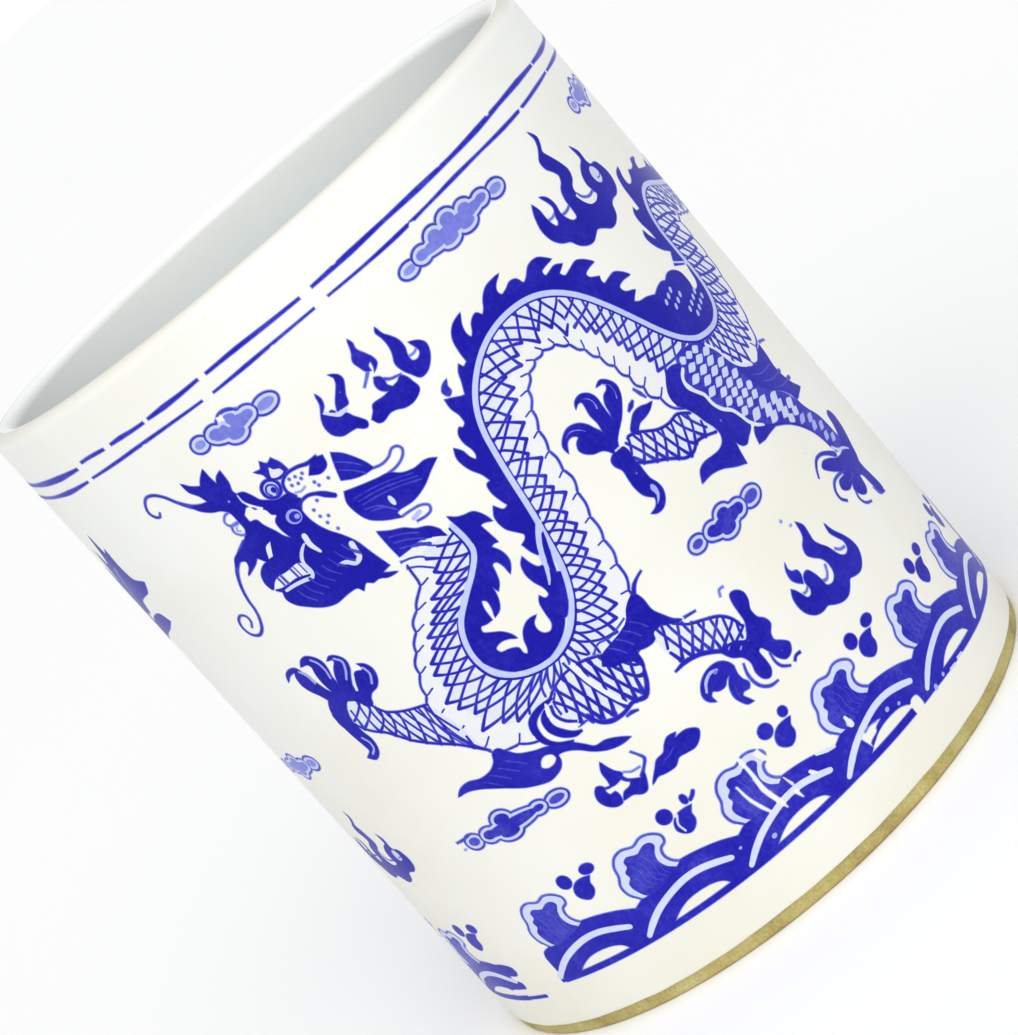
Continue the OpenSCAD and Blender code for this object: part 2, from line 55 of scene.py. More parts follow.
def smooth_run(points, closed=False):
    """Centripetal curve through the points, open or closed."""
    pts = [np.array(p[:2], float) for p in points]
    if closed:
        ring = [pts[-1]] + pts + pts[:2]
    else:
        ring = [2 * pts[0] - pts[1]] + pts + [2 * pts[-1] - pts[-2]]
    out = []
    for a, b, c, d in zip(ring, ring[1:], ring[2:], ring[3:]):
        t1 = max(np.linalg.norm(b - a), 1e-6) ** 0.5
        t2 = t1 + max(np.linalg.norm(c - b), 1e-6) ** 0.5
        t3 = t2 + max(np.linalg.norm(d - c), 1e-6) ** 0.5
        count = max(1, math.ceil(np.linalg.norm(c - b) / STEP))
        for t in t1 + (t2 - t1) * np.arange(count) / count:
            ab = a + (b - a) * t / t1
            bc = b + (c - b) * (t - t1) / (t2 - t1)
            cd = c + (d - c) * (t - t2) / (t3 - t2)
            abc = ab + (bc - ab) * t / t2
            bcd = bc + (cd - bc) * (t - t1) / (t3 - t1)
            out.append(abc + (bcd - abc) * (t - t1) / (t2 - t1))
    if not closed:
        out.append(pts[-1])
    return out


def closed_outline(points):
    """Outline that is smooth everywhere but at its marked corners."""
    corners = [i for i, p in enumerate(points) if len(p) > 2]
    if not corners:
        return np.array(smooth_run(points, closed=True))
    points = points[corners[0]:] + points[:corners[0] + 1]
    out, run = [], [points[0]]
    for p in points[1:]:
        run.append(p)
        if len(p) > 2:
            out += smooth_run(run)[:-1]
            run = [p]
    return np.array(out)


def brush_line(points, widths):
    """Outline of a brush line with a width at each of its points."""
    path = np.array(smooth_run(points))
    knots = np.array([p[:2] for p in points], float)
    at = np.concatenate([[0], np.cumsum(np.linalg.norm(np.diff(knots, axis=0), axis=1))])
    along = np.concatenate([[0], np.cumsum(np.linalg.norm(np.diff(path, axis=0), axis=1))])
    half = 0.5 * np.interp(along / along[-1], at / at[-1], widths)
    way = np.gradient(path, axis=0)
    way /= np.maximum(np.linalg.norm(way, axis=1), 1e-9)[:, None]
    side = np.stack([-way[:, 1], way[:, 0]], 1)
    left, right = path + side * half[:, None], path - side * half[:, None]
    caps = []
    for end, direction, r in ((path[-1], way[-1], half[-1]), (path[0], -way[0], half[0])):
        across = np.array([direction[1], -direction[0]])
        turns = np.linspace(math.pi, 0, 5)[1:-1] if r > 0.12 else []
        caps.append([end + r * (across * math.cos(t) + direction * math.sin(t)) for t in turns])
    return np.array(list(left) + caps[0] + list(right[::-1]) + caps[1])


def ellipse(u, z, half_width, half_height, lean=0.0):
    count = max(10, math.ceil(6.3 * max(half_width, half_height) / STEP))
    turn, c, s = np.arange(count) * 2 * math.pi / count, math.cos(lean), math.sin(lean)
    x, y = half_width * np.cos(turn), half_height * np.sin(turn)
    return np.stack([u + c * x - s * y, z + s * x + c * y], 1)


class Drawing:
    """Painted shapes in order: a later shape covers an earlier one.

    ink is 1 for full cobalt, less for a thinner wash and 0 for bare glaze."""

    def __init__(self):
        self.shapes = []

    def area(self, points, ink=1.0):
        self.shapes.append((closed_outline(points), ink))

    def line(self, points, width, ink=1.0):
        """Brush line. Its width allows for the soft edges, which add to ink and eat bare glaze."""
        change = -0.9 * BLEED if ink >= 0.3 else BLEED if ink < 0.03 else 0.5 * BLEED
        widths = [width] * len(points) if np.isscalar(width) else width
        self.shapes.append((brush_line(points, [max(w + change, 0.1) for w in widths]), ink))

    def spot(self, u, z, half_width, half_height=None, ink=1.0, lean=0.0):
        change = -0.4 * BLEED if ink >= 0.3 else 0.4 * BLEED
        half_height = max((half_height or half_width) + change, 0.1)
        self.shapes.append((ellipse(u, z, max(half_width + change, 0.1), half_height, lean), ink))


class Ribbon:
    """Strip between two edges that are given by facing pairs of points."""

    def __init__(self, pairs):
        near = np.array(smooth_pairs([(p[0], p[1]) for p in pairs]))
        far = np.array(smooth_pairs([(p[2], p[3]) for p in pairs]))
        middle = 0.55 * near + 0.45 * far
        gone = np.concatenate([[0], np.cumsum(np.linalg.norm(np.diff(middle, axis=0), axis=1))])
        self.near, self.far, self.gone, self.length = near, far, gone, gone[-1]

    def at(self, along, share):
        """Point at a length along the strip, share 0 on the near edge and 1 on the far one."""
        along = min(max(along, 0.0), self.length)
        near = [np.interp(along, self.gone, self.near[:, i]) for i in (0, 1)]
        far = [np.interp(along, self.gone, self.far[:, i]) for i in (0, 1)]
        return (near[0] + (far[0] - near[0]) * share, near[1] + (far[1] - near[1]) * share)

    def edge(self, share, begin=0.0, end=None, step=1.5):
        end = self.length if end is None else end
        count = max(2, math.ceil((end - begin) / step))
        return [self.at(begin + (end - begin) * i / count, share) for i in range(count + 1)]


def smooth_pairs(points, per_span=8):
    """Curve through the points with the same number of steps in every span."""
    pts = [np.array(p, float) for p in points]
    ring = [2 * pts[0] - pts[1]] + pts + [2 * pts[-1] - pts[-2]]
    out = []
    for a, b, c, d in zip(ring, ring[1:], ring[2:], ring[3:]):
        for t in np.arange(per_span) / per_span:
            out.append(0.5 * (2 * b + (c - a) * t + (2 * a - 5 * b + 4 * c - d) * t * t
                              + (3 * b - 3 * c + d - a) * t ** 3))
    out.append(pts[-1])
    return out


def scale_net(art, ribbon, begin, end, near, far, spacing, rows=1.5, width=0.4, ink=0.82, bow=1.3):
    """Bowed lines that cross on a pale ground and meet in dark tips along the far side."""
    art.area(ribbon.edge(near, begin, end) + ribbon.edge(far - 0.04, begin, end)[::-1], 0.08)
    reach = rows * spacing
    count = int((end - begin) / spacing)
    for i in range(-int(rows), count + 1 + int(rows)):
        tip = begin + spacing * (i + 0.5 + 0.09 * math.sin(i * 1.9))
        depth = far + (0.08 * math.sin(i * 2.3) + 0.06 * math.sin(i * 4.1)) * (far < 0.9)
        for way in (-1, 1):
            points, widths = [], []
            for k in range(8):
                part = k / 7
                along = tip + way * reach * (1 - part ** bow)
                if begin <= along <= end:
                    points.append(ribbon.at(along, near + (depth - near) * part))
                    widths.append(width * (0.9 + 0.35 * max(part - 0.7, 0) / 0.3))
            if len(points) > 2:
                art.line(points, widths, ink)


def scallops(art, ribbon, begin, end, pitch, bulge, width=0.36, ink=0.8, tick=0.15):
    """Row of shallow bows along the far edge, with a short tick inwards at each meeting."""
    count = max(1, round((end - begin) / pitch))
    for i in range(count):
        points = []
        for k in range(6):
            along = begin + (end - begin) * (i + k / 5) / count
            points.append(ribbon.at(along, 1 + bulge * math.sin(math.pi * k / 5)))
        points.append(ribbon.at(begin + (end - begin) * (i + 1) / count - 0.25, 1 - tick))
        art.line(points, [width] * 6 + [width * 0.7], ink)


def lozenges(art, ribbon, begin, end, near, far, across, spacing, ink=0.12, lean=0.2):
    """Pale pointed scales in staggered rows over an inked ground."""
    rows = int((end - begin) / spacing)
    for i in range(rows + 1):
        along = begin + spacing * i
        for j in range(across):
            share = near + (far - near) * (j + 0.5 + 0.5 * (i % 2)) / (across + 0.5)
            u, z = ribbon.at(along, share)
            a, b = ribbon.at(along, share - 0.1), ribbon.at(along, share + 0.1)
            half = math.hypot(b[0] - a[0], b[1] - a[1]) * 2.7 * (far - near) / (across + 0.5) + 0.1
            turn = math.atan2(b[1] - a[1], b[0] - a[0]) + lean
            c, s, wide = half * math.cos(turn), half * math.sin(turn), (0.42 * spacing + 0.1) / half
            art.area([(u + c, z + s, C), (u - s * wide, z + c * wide), (u - c, z - s, C),
                      (u + s * wide, z - c * wide)], ink)


def streaks(art, first, step, count, width=0.62, ink=0.7):
    """Lighter lines in a dark area, each one step further on than the one before it."""
    for k in range(count):
        art.line([(p[0] + step[0] * k, p[1] + step[1] * k) for p in first], width, ink)


# ---- the dragon ----

# Backbone and belly of the long body, from the throat to the tail
BODY = [
    (-6.8, 74.6, -15.2, 75.2), (-6.6, 72, -14.8, 72.4), (-7, 70, -16.2, 70.2), (-9, 68, -18.9, 68),
    (-12, 65.8, -21.2, 65.3), (-15, 63.2, -23.6, 62.4), (-16.5, 60, -25.4, 59),
    (-16.7, 57.2, -26.7, 56), (-15.8, 54.6, -26.8, 52.6), (-13.5, 52.7, -25.8, 49),
    (-11.2, 51.8, -23.4, 46), (-9.3, 51.5, -17, 43.8), (-7.5, 51.6, -10, 42), (-5.6, 52.2, -3, 42.5),
    (-3.6, 53.4, 2.6, 46), (-1.7, 55.4, 5, 50.4), (-0.3, 57.6, 6.3, 54.2), (0.9, 60.5, 7.3, 58.4),
    (1.6, 63.5, 8, 62.2), (2.1, 66, 8.7, 65.5), (2.6, 68.5, 9.5, 68.6), (3, 71, 9.6, 71.6),
    (3.5, 74.5, 10, 74.8), (4.1, 78, 11, 77.9), (5, 82, 12.4, 80.7), (6.6, 85.3, 13.9, 82.6),
    (9.1, 88, 15.4, 83.6), (12.2, 90, 17, 84.1), (15.5, 91, 18.4, 84.2), (19, 91.1, 20, 83.8),
    (22.5, 90.3, 21.5, 82.8), (25.7, 88.4, 22.8, 81.2), (28.5, 85.5, 24, 79), (31, 81.7, 25.1, 76.3),
    (33.3, 77.6, 26, 73.3), (35.3, 74, 26.7, 70.6), (37.5, 71, 27.6, 67.8), (40, 69, 31, 63),
    (42, 68.3, 38, 60.4), (43.8, 68, 44, 60.4), (46, 68, 47.5, 59.5), (48.7, 69.2, 51.6, 61.2),
    (50.4, 71.8, 54.8, 65), (51, 75, 57.2, 69.4), (51, 79, 58.6, 74), (51.2, 82.5, 58.9, 77.7),
    (52.4, 85.4, 59.3, 80.3), (54.5, 87.1, 60.3, 80.9), (57, 87.6, 61.6, 80.7), (60, 87, 63, 80.4),
    (63.5, 85.8, 65.5, 79.7), (68, 84.6, 69, 79), (73, 83.6, 74, 78.6), (78, 84, 79.5, 79.8),
    (83, 86.4, 84.6, 82.6), (87.5, 90, 88.8, 87)]
UNDER_THIGH = (31.0, 63.0)      # belly points hidden by the two right-hand thighs
UNDER_HIP = (44.0, 60.4)


def nearest_along(ribbon, point):
    gap = np.linalg.norm(ribbon.far - np.array(point), axis=1)
    return ribbon.gone[int(gap.argmin())]


def draw_body(art):
    body = Ribbon(BODY)
    hidden_from = nearest_along(body, UNDER_THIGH)
    hidden_to = nearest_along(body, UNDER_HIP)
    stretches = [(0.8, hidden_from - 1), (hidden_to - 1, body.length - 0.5)]
    art.area(body.edge(0.0) + body.edge(1.0)[::-1], 0.05)
    loop_end, arch_end = nearest_along(body, (-10, 42)), nearest_along(body, (22.8, 81.2))
    scale_net(art, body, 0.6, loop_end, 0.06, 0.7, 1.95, 1.5, 0.52)
    scale_net(art, body, loop_end, arch_end, 0.06, 0.68, 1.9, 1.6, 0.52)
    scale_net(art, body, arch_end, hidden_from + 5, 0.06, 0.62, 1.9, 1.7, 0.54, 0.78)
    scale_net(art, body, hidden_to - 9, body.length - 1, 0.06, 0.84, 1.75, 1.8, 0.58, 0.8, 1.05)
    for begin, end in stretches:
        scallops(art, body, begin, end, 3.3, 0.06)
    art.line(body.edge(0.05), 0.5, 0.95)
    return body


def draw_backbone(art, body):
    bend = nearest_along(body, (-1.2, 56))
    art.line(body.edge(-0.14, bend - 4, bend + 3), 1.3, 0.95)
    art.line(body.edge(-0.01), 0.85, 0.15)
    # where the low bend passes behind the neck the backbone forks
    art.area([(2, 66, C), (1.2, 65.6), (0.3, 63.6), (-0.7, 61), (-1.6, 59.2, C), (-0.9, 59.4),
              (0.4, 62.2), (1.4, 64.4)], 0.95)
    art.line([(2.4, 67.4), (1.2, 66), (0.2, 64.4), (-0.6, 62.4), (-1.5, 60.6), (-2, 59.9)],
             [0.9, 0.85, 0.8, 0.65, 0.5, 0.3], 0.15)


def draw_bend_fins(art):
    """Flame-shaped fins inside the low bend."""
    art.area([(-6.4, 76.1, C), (-5.6, 75.3), (-4.6, 74.8), (-3.4, 74.4), (-2.6, 73.2), (-2.2, 71.8, C),
              (-3, 72.3), (-3.8, 72.4), (-3.7, 70.8), (-3.5, 69.1, C), (-4.1, 69.3), (-4.7, 69.1, C),
              (-4, 67.6), (-4, 66), (-5, 64.6, C), (-5, 66), (-5.4, 67.1), (-6.1, 67.2), (-6.5, 66),
              (-7, 64.7), (-7.8, 63.8, C), (-8.1, 64.9, C), (-8.6, 63), (-9.4, 61.7), (-10.5, 61.2, C),
              (-10, 62.5), (-9.9, 63.7), (-10.5, 64.2), (-11, 63.2), (-11.2, 61.2, C), (-12.1, 61.2),
              (-13, 61.4), (-13.4, 60.5), (-12.6, 59.8), (-11.4, 59), (-10.6, 58), (-10.2, 57, C),
              (-11.2, 57.7), (-12.4, 58), (-13.5, 57.6), (-13.3, 56.7), (-12, 56.3), (-11, 55.7),
              (-11, 54.7), (-10.5, 54.2), (-10, 54.8), (-9.6, 56), (-8.8, 57.2), (-7.5, 57.9),
              (-6.2, 57.8, C), (-7.1, 57.2), (-7.4, 56), (-6.9, 55), (-6, 54.7), (-5.2, 55.4),
              (-4.9, 57.3), (-4.6, 58.8), (-4.1, 59.5, C), (-3.7, 58.7), (-2.9, 58.8), (-2.8, 60),
              (-3.3, 61.5), (-3.5, 63), (-3.1, 64.5), (-2.4, 65.2, C), (-2.2, 64), (-1.6, 62.7),
              (-0.5, 62.4, C), (-1, 60), (-2.2, 57), (-4.2, 54.2), (-6.8, 52.6), (-9.7, 52),
              (-12.6, 52.8), (-15, 55), (-16.2, 57.7), (-16, 60.2), (-14.6, 62.9), (-12, 65.2),
              (-9.2, 67.3), (-6.8, 69.5), (-6.1, 71), (-6, 73)])


def draw_neck_fins(art):
    """Fins up the back of the neck."""
    art.area([(-0.4, 63.9, C), (1, 65.8), (2.2, 67.4), (2.8, 71), (3.4, 75), (4.1, 79), (5, 82.6),
              (6.6, 85.8), (8.4, 88), (7.6, 88.4), (7.4, 87.6), (6.2, 87.1), (4.6, 87.9), (3.7, 88.4, C),
              (3.6, 87), (3.9, 85.6), (3.7, 84.2), (3, 83.9, C), (2.7, 84.3), (2.1, 83.7), (1.9, 82.4),
              (2.2, 80.8), (2, 79.8), (1.6, 79.5), (1.1, 80.4), (0.9, 81.6), (0.3, 82.6, C),
              (-0.2, 81.3), (0.1, 79.3), (1, 77.4), (1.3, 76, C), (0.6, 76), (0.3, 74.8), (0.6, 73),
              (0.9, 72, C), (0.3, 71.8), (-0.2, 72), (-0.8, 73.1, C), (-1.6, 71.8), (-1.5, 69.8),
              (-0.6, 68.4), (0, 67.4), (-0.4, 66.8), (-1.2, 66.5, C), (-0.9, 65)])


def draw_arch_fins(art):
    """Fins over the arch, with one loose scrap."""
    art.area([(6.2, 87, C), (7, 88.6), (7.6, 90), (8.2, 90.7, C), (8.5, 90), (9.4, 90.3, C), (9.5, 92),
              (10, 94), (11.2, 95.2), (12.9, 95.7, C), (12, 94.4), (11.7, 93), (12, 92.2), (12.6, 92.6),
              (13.4, 93.7), (14.6, 94.2), (15.2, 93.3, C), (15.9, 93.8), (16.8, 94.9), (18.2, 95.8),
              (20.8, 95.9, C), (19.4, 95.1), (18.9, 94.2), (19.2, 93.5), (20.2, 93.6), (21.4, 94),
              (22.4, 93.6), (22.9, 92.5), (23.8, 92.8), (25.2, 93.7), (27, 93.6), (28.7, 92.1, C),
              (27.2, 92.1), (26.2, 91.9), (26.2, 91), (27.2, 91), (28.4, 91.1), (29.6, 90.5, C),
              (28.8, 90.2), (28.2, 89.9), (28.7, 89), (30, 89.1), (31.8, 89.3), (33, 88.6), (34.2, 87.4, C),
              (32.6, 87.4), (31.6, 87.1), (31.7, 86.4), (33.2, 85.4, C), (32.9, 84.8), (33.1, 84.1, C),
              (34.4, 84.2), (35.8, 84.2), (37, 83.4), (38, 82.3, C), (36, 82.6), (34.8, 82.3),
              (35, 81.3), (36.8, 80.3, C), (35.8, 79.8), (35.2, 79.4, C), (34.4, 79.4), (33.2, 77.6),
              (30.6, 81.8), (28, 85.8), (25, 88.8), (21.8, 90.6), (18, 91.3), (14, 90.8), (10.6, 89.2),
              (8, 87)])
    art.area([(4.1, 89.4), (4.7, 90.1), (5.6, 90.4, C), (5.1, 89.6), (5.1, 88.8), (4.5, 88.5)], 0.85)


def draw_hollow(art):
    """Dark hollow of the right-hand bend, with its loose scales."""
    art.area([(34, 79, C), (34.9, 79.4), (36, 78.7), (37.6, 78.3), (39.4, 77.5, C), (41, 77.9),
              (42.4, 77.9), (43.2, 77.5, C), (44.6, 77.9), (46.2, 77.5), (47.5, 76.3), (47.6, 74.4),
              (47.2, 73.2), (48.6, 73), (49.6, 73.8), (50, 75), (50.6, 76.4), (50.6, 73.4), (49.9, 71.4),
              (48.4, 69.6), (45.8, 68.5), (42.8, 68.5), (40, 69.6), (37.6, 71.6), (35.6, 74.6),
              (33.6, 78)])
    for row, (u, z) in enumerate(((40.2, 75.6), (41.3, 74.1), (43.4, 72.2), (44.2, 70.9))):
        for k in range(3 if row < 2 else 4):
            art.spot(u + 1.25 * k, z + 0.3 * k, 0.5, 0.3, 0.2, 0.9)


def draw_back_fins(art):
    """Fins past the right-hand bend and on towards the tail."""
    art.area([(47.6, 77.7, C), (48.8, 78.9, C), (49.3, 79.3), (48, 80.4), (46.8, 82), (46.4, 83.6),
              (47, 84.4, C), (47.5, 83), (48.3, 82), (48.4, 83.4), (48, 85.4), (48.2, 86.8), (49, 87.5, C),
              (49.2, 86.8), (50.4, 86.6, C), (50.6, 88.4), (50.9, 90.6), (51.8, 92.2), (53.6, 92.7, C),
              (52.6, 91.2), (52.6, 90), (53.6, 89.6), (54.8, 90), (56, 91, C), (57.2, 90.6), (58.8, 90.7),
              (60, 91.4), (62.2, 91.1, C), (60.6, 90.5), (60.2, 89.6), (62, 89), (65, 88.4), (67.4, 89, C),
              (68, 87.4), (70, 87.4), (72.4, 89, C), (72.4, 87), (75, 87), (77.6, 89, C), (78, 87.4),
              (80.4, 88.8), (82.4, 92, C), (83, 90), (85.4, 92.6), (87, 95.4, C), (87.6, 91),
              (84, 87.6), (80.4, 85.4), (76, 84.2), (71.4, 84.2), (66, 85.4), (61, 87.2), (56.6, 88),
              (53, 86.8), (51, 83.6), (50.6, 79), (50.6, 76.6)])
    art.line([(48, 78), (49.4, 77.2), (50.6, 76.6)], 0.35, 0.15)


def draw_tail(art):
    art.area([(86.4, 87.6), (88, 92), (89.6, 95.6), (90.6, 98.6, C), (91.6, 96), (93.2, 97.6),
              (95, 101.6, C), (95.6, 98), (96.8, 98.8, C), (96.4, 95.6), (97.2, 93), (100.3, 92, C),
              (98.4, 90.4), (95.6, 89.8), (92.6, 89), (90, 86.6)])
    art.area([(84.6, 83), (88, 84.8), (92, 86), (95.4, 86.2), (97, 84.8, C), (94, 83.6), (90, 82.6),
              (85, 81), (80, 79.6)], 0.95)
    art.line([(88.6, 89), (91, 92.4), (93.4, 95.4)], 0.4, 0.25)


def draw_feelers(art):
    art.line([(-32.2, 97), (-34.4, 98.2), (-36, 99.8), (-37.4, 101.6), (-38.8, 102.6), (-40.2, 102.8),
              (-41.4, 102), (-42, 100.8), (-41.5, 99.8), (-40.7, 99.5), (-40.2, 100)],
             [1.3, 0.8, 0.55, 0.5, 0.5, 0.45, 0.45, 0.5, 0.5, 0.4, 0.35], 0.75)
    art.line([(-31.6, 89.8), (-34, 88.9), (-36, 87.6), (-37.6, 85.5), (-38.6, 83), (-38.9, 81.2),
              (-39.5, 79.7), (-40.7, 78.2), (-42, 77.7), (-43.3, 78.4), (-43.7, 79.8), (-43.2, 81),
              (-42.2, 81.5), (-41.3, 81), (-41.3, 80), (-42, 79.2)],
             [1.5, 1.0, 0.65, 0.5, 0.5, 0.5, 0.5, 0.5, 0.5, 0.45, 0.45, 0.45, 0.4, 0.4, 0.4, 0.3], 0.75)


def draw_skull(art):
    """Skull, crown, upper jaw and bearded lower jaw in one dark shape."""
    art.area([(-33.3, 101.7, C), (-32.2, 100.6), (-30.9, 99.9, C), (-30.1, 100.7), (-28.8, 101.6, C),
              (-28.8, 100.2), (-28.6, 98.8, C), (-27.8, 99.7), (-26.8, 100.1, C), (-27, 98.2),
              (-27.5, 96.9), (-27.3, 96.2, C), (-26.3, 95.9), (-25.6, 94.8), (-25.1, 93.7), (-24.2, 93),
              (-23, 92.3), (-21.3, 92.2, C), (-20.9, 91.4), (-20.2, 90.5, C), (-21.1, 90), (-21.4, 88.5),
              (-21.2, 86.8), (-20.4, 84.8), (-19.2, 83), (-18.3, 81.2), (-17.8, 79), (-17.3, 77),
              (-17, 75.9, C), (-18.4, 75.6), (-17.6, 75), (-16.7, 74.5, C), (-18.2, 74.7), (-19.3, 75.3),
              (-20.4, 75.3, C), (-21.3, 75.9), (-22.3, 75.2, C), (-22.8, 76), (-24.5, 76.1), (-27, 75.9),
              (-29, 76.5), (-31, 77.8), (-32.3, 78.9), (-32.9, 80.2), (-32.5, 81.3, C), (-33.7, 82.5, C),
              (-33.9, 83.5), (-33.4, 84.9), (-32.2, 85.8), (-31, 86.1, C), (-31.9, 87.4, C), (-33, 86.7),
              (-35.2, 85.9, C), (-34, 86.9), (-33.8, 87.8), (-34.8, 88.2), (-36, 87.8, C), (-35, 88.9),
              (-33.6, 89.4), (-32, 90), (-31, 90.6, C), (-30.1, 91.4), (-30, 93), (-30.1, 94.6),
              (-31, 95.6), (-32.5, 96.2), (-34, 97.3), (-34.7, 98.4, C), (-33.4, 97.9), (-31.7, 97.6, C),
              (-32.2, 99), (-33.1, 100.2)])


def draw_snout(art):
    """Pale cheek, snout line and nostril curls."""
    art.area([(-28.7, 93.3, C), (-27.4, 94.1), (-26.6, 93.1), (-25.3, 92.2), (-25.1, 91.2), (-24.5, 90.7),
              (-25.4, 90), (-25.6, 88.8), (-25.2, 86.8, C), (-26, 87.6), (-26.6, 89), (-27.4, 90.6),
              (-27.7, 91.7), (-28.7, 92)], 0.0)
    art.line([(-27.3, 96), (-27.3, 94.8), (-26.4, 93.4), (-25.6, 92.6)], [0.25, 0.35, 0.4, 0.3], 0.0)
    art.line([(-30, 94.8), (-31.2, 94.7), (-32, 93.9), (-31.7, 93.1), (-30.4, 92.9)],
             [0.4, 0.38, 0.35, 0.45, 0.6], 0.5)
    art.line([(-31.6, 92.9), (-31.9, 92), (-31.3, 91.2), (-30.4, 90.8)], [0.45, 0.35, 0.35, 0.45], 0.55)
    art.line([(-30.9, 92.5), (-31.3, 92), (-30.9, 91.7)], 0.3, 0.3)
    art.spot(-29, 96, 0.4, 0.4, 0.4)
    art.area([(-30.6, 86.2, C), (-29.5, 88), (-28.2, 88.3, C), (-29.6, 86.2, C)], 0.06)


def draw_mouth(art):
    """Teeth, lips, jaw lines and the streaks of the beard."""
    art.area([(-33.6, 82.2, C), (-32, 83.4), (-29.6, 83.5), (-27, 83.5), (-26.8, 81.4), (-28.6, 81.7),
              (-32.2, 81.8, C)], 0.05)
    for u, width in ((-31.6, 0.5), (-30.9, 0.6), (-28.9, 0.5), (-28.3, 0.3), (-27.3, 0.35)):
        art.line([(u, 83.6), (u + 0.15, 81.7)], width, 0.6)
    art.line([(-33, 81.8), (-31.4, 81.7), (-29, 81.8), (-27.2, 81.3)], 0.25, 0.8)
    art.line([(-31.9, 81.2), (-30, 81.2), (-28.3, 81), (-27, 80.8), (-26.5, 81.5), (-26.6, 83),
              (-26.1, 84), (-25.2, 84.8), (-24.5, 85.2)],
             [0.5, 0.6, 0.65, 0.65, 0.6, 0.6, 0.6, 0.5, 0.35], 0.1)
    art.line([(-23.6, 86.1), (-23.8, 84.7), (-23.3, 83.1)], [0.9, 0.9, 0.5], 0.08)
    art.line([(-22.7, 80.1), (-21.5, 79.8), (-20.4, 78.9), (-19.4, 79.3), (-19.2, 80.4), (-19, 81.4)],
             [0.35, 0.7, 0.8, 0.8, 0.9, 0.9], 0.1)
    art.line([(-24.5, 88.3), (-24.1, 87.1), (-22.9, 86.6)], 0.3, 0.45)
    streaks(art, [(-30.4, 80.2), (-30, 79), (-29, 77.7)], (1.45, 0.28), 8)


def draw_eyes(art):
    art.spot(-22.6, 94, 1.62, 1.6, 0.85)
    art.spot(-22.6, 94, 1.1, 1.08, 0.16)
    art.line([(-23.2, 93.1), (-23.5, 94), (-22.8, 94.7), (-21.9, 94.2), (-21.9, 93.3), (-22.5, 93)],
             0.4, 0.75)
    art.spot(-22.4, 93.7, 0.45, 0.5, 0.95)
    art.spot(-22.8, 89.1, 1.2, 1.1, 0.28)
    art.spot(-22.7, 89, 0.95, 0.85, 0.8)
    art.spot(-22.4, 88.9, 0.4, 0.35, 0.28)


def draw_brow(art):
    art.area([(-22, 95.2, C), (-22, 96.2), (-22.9, 97.2, C), (-21.8, 97), (-21.2, 97.9, C),
              (-20.5, 97.1), (-19.6, 97.4, C), (-19, 96.2), (-18.8, 94.8, C), (-20.4, 94.4)], 0.85)
    art.area([(-21.5, 95.2), (-21.2, 96), (-20.7, 96.7), (-20.3, 96), (-19.6, 95.7), (-19.4, 94.9),
              (-20.6, 94.7)], 0.08)


def draw_bosses(art):
    """Two dotted bosses behind the eyes, each with a dark end."""
    art.line([(-20.6, 91.2), (-21.1, 92.4), (-20.7, 93.7), (-19.4, 94.4), (-17.6, 94.3), (-16, 93.8),
              (-14.5, 93.9)], [0.6, 0.5, 0.45, 0.45, 0.5, 0.6, 0.4], 0.85)
    art.line([(-20.2, 91.6), (-19.4, 91.3), (-18.6, 91.5)], 0.3, 0.35)
    art.area([(-16.9, 92.4, C), (-16.1, 93.2), (-15.4, 93.9), (-13.8, 93.4, C), (-14.2, 92.1),
              (-15.5, 91.7)], 0.97)
    art.line([(-21.4, 89.2), (-20.6, 90.1), (-19.2, 90.3), (-18, 89.8), (-17.1, 89), (-16.2, 88.1)],
             [0.4, 0.45, 0.5, 0.55, 0.9, 0.7], 0.88)
    for u, z in ((-19.6, 93.6), (-18.7, 93.4), (-17.6, 93.2), (-19.9, 92.7), (-19, 92.4), (-18.2, 92.7),
                 (-17.1, 91.2), (-16.9, 90.5), (-15.2, 90.5), (-19.9, 88.2), (-19.8, 87), (-18.8, 86.4),
                 (-19.6, 85.7), (-19, 84.2), (-18.6, 89)):
        art.spot(u, z, 0.22, 0.24, 0.6)


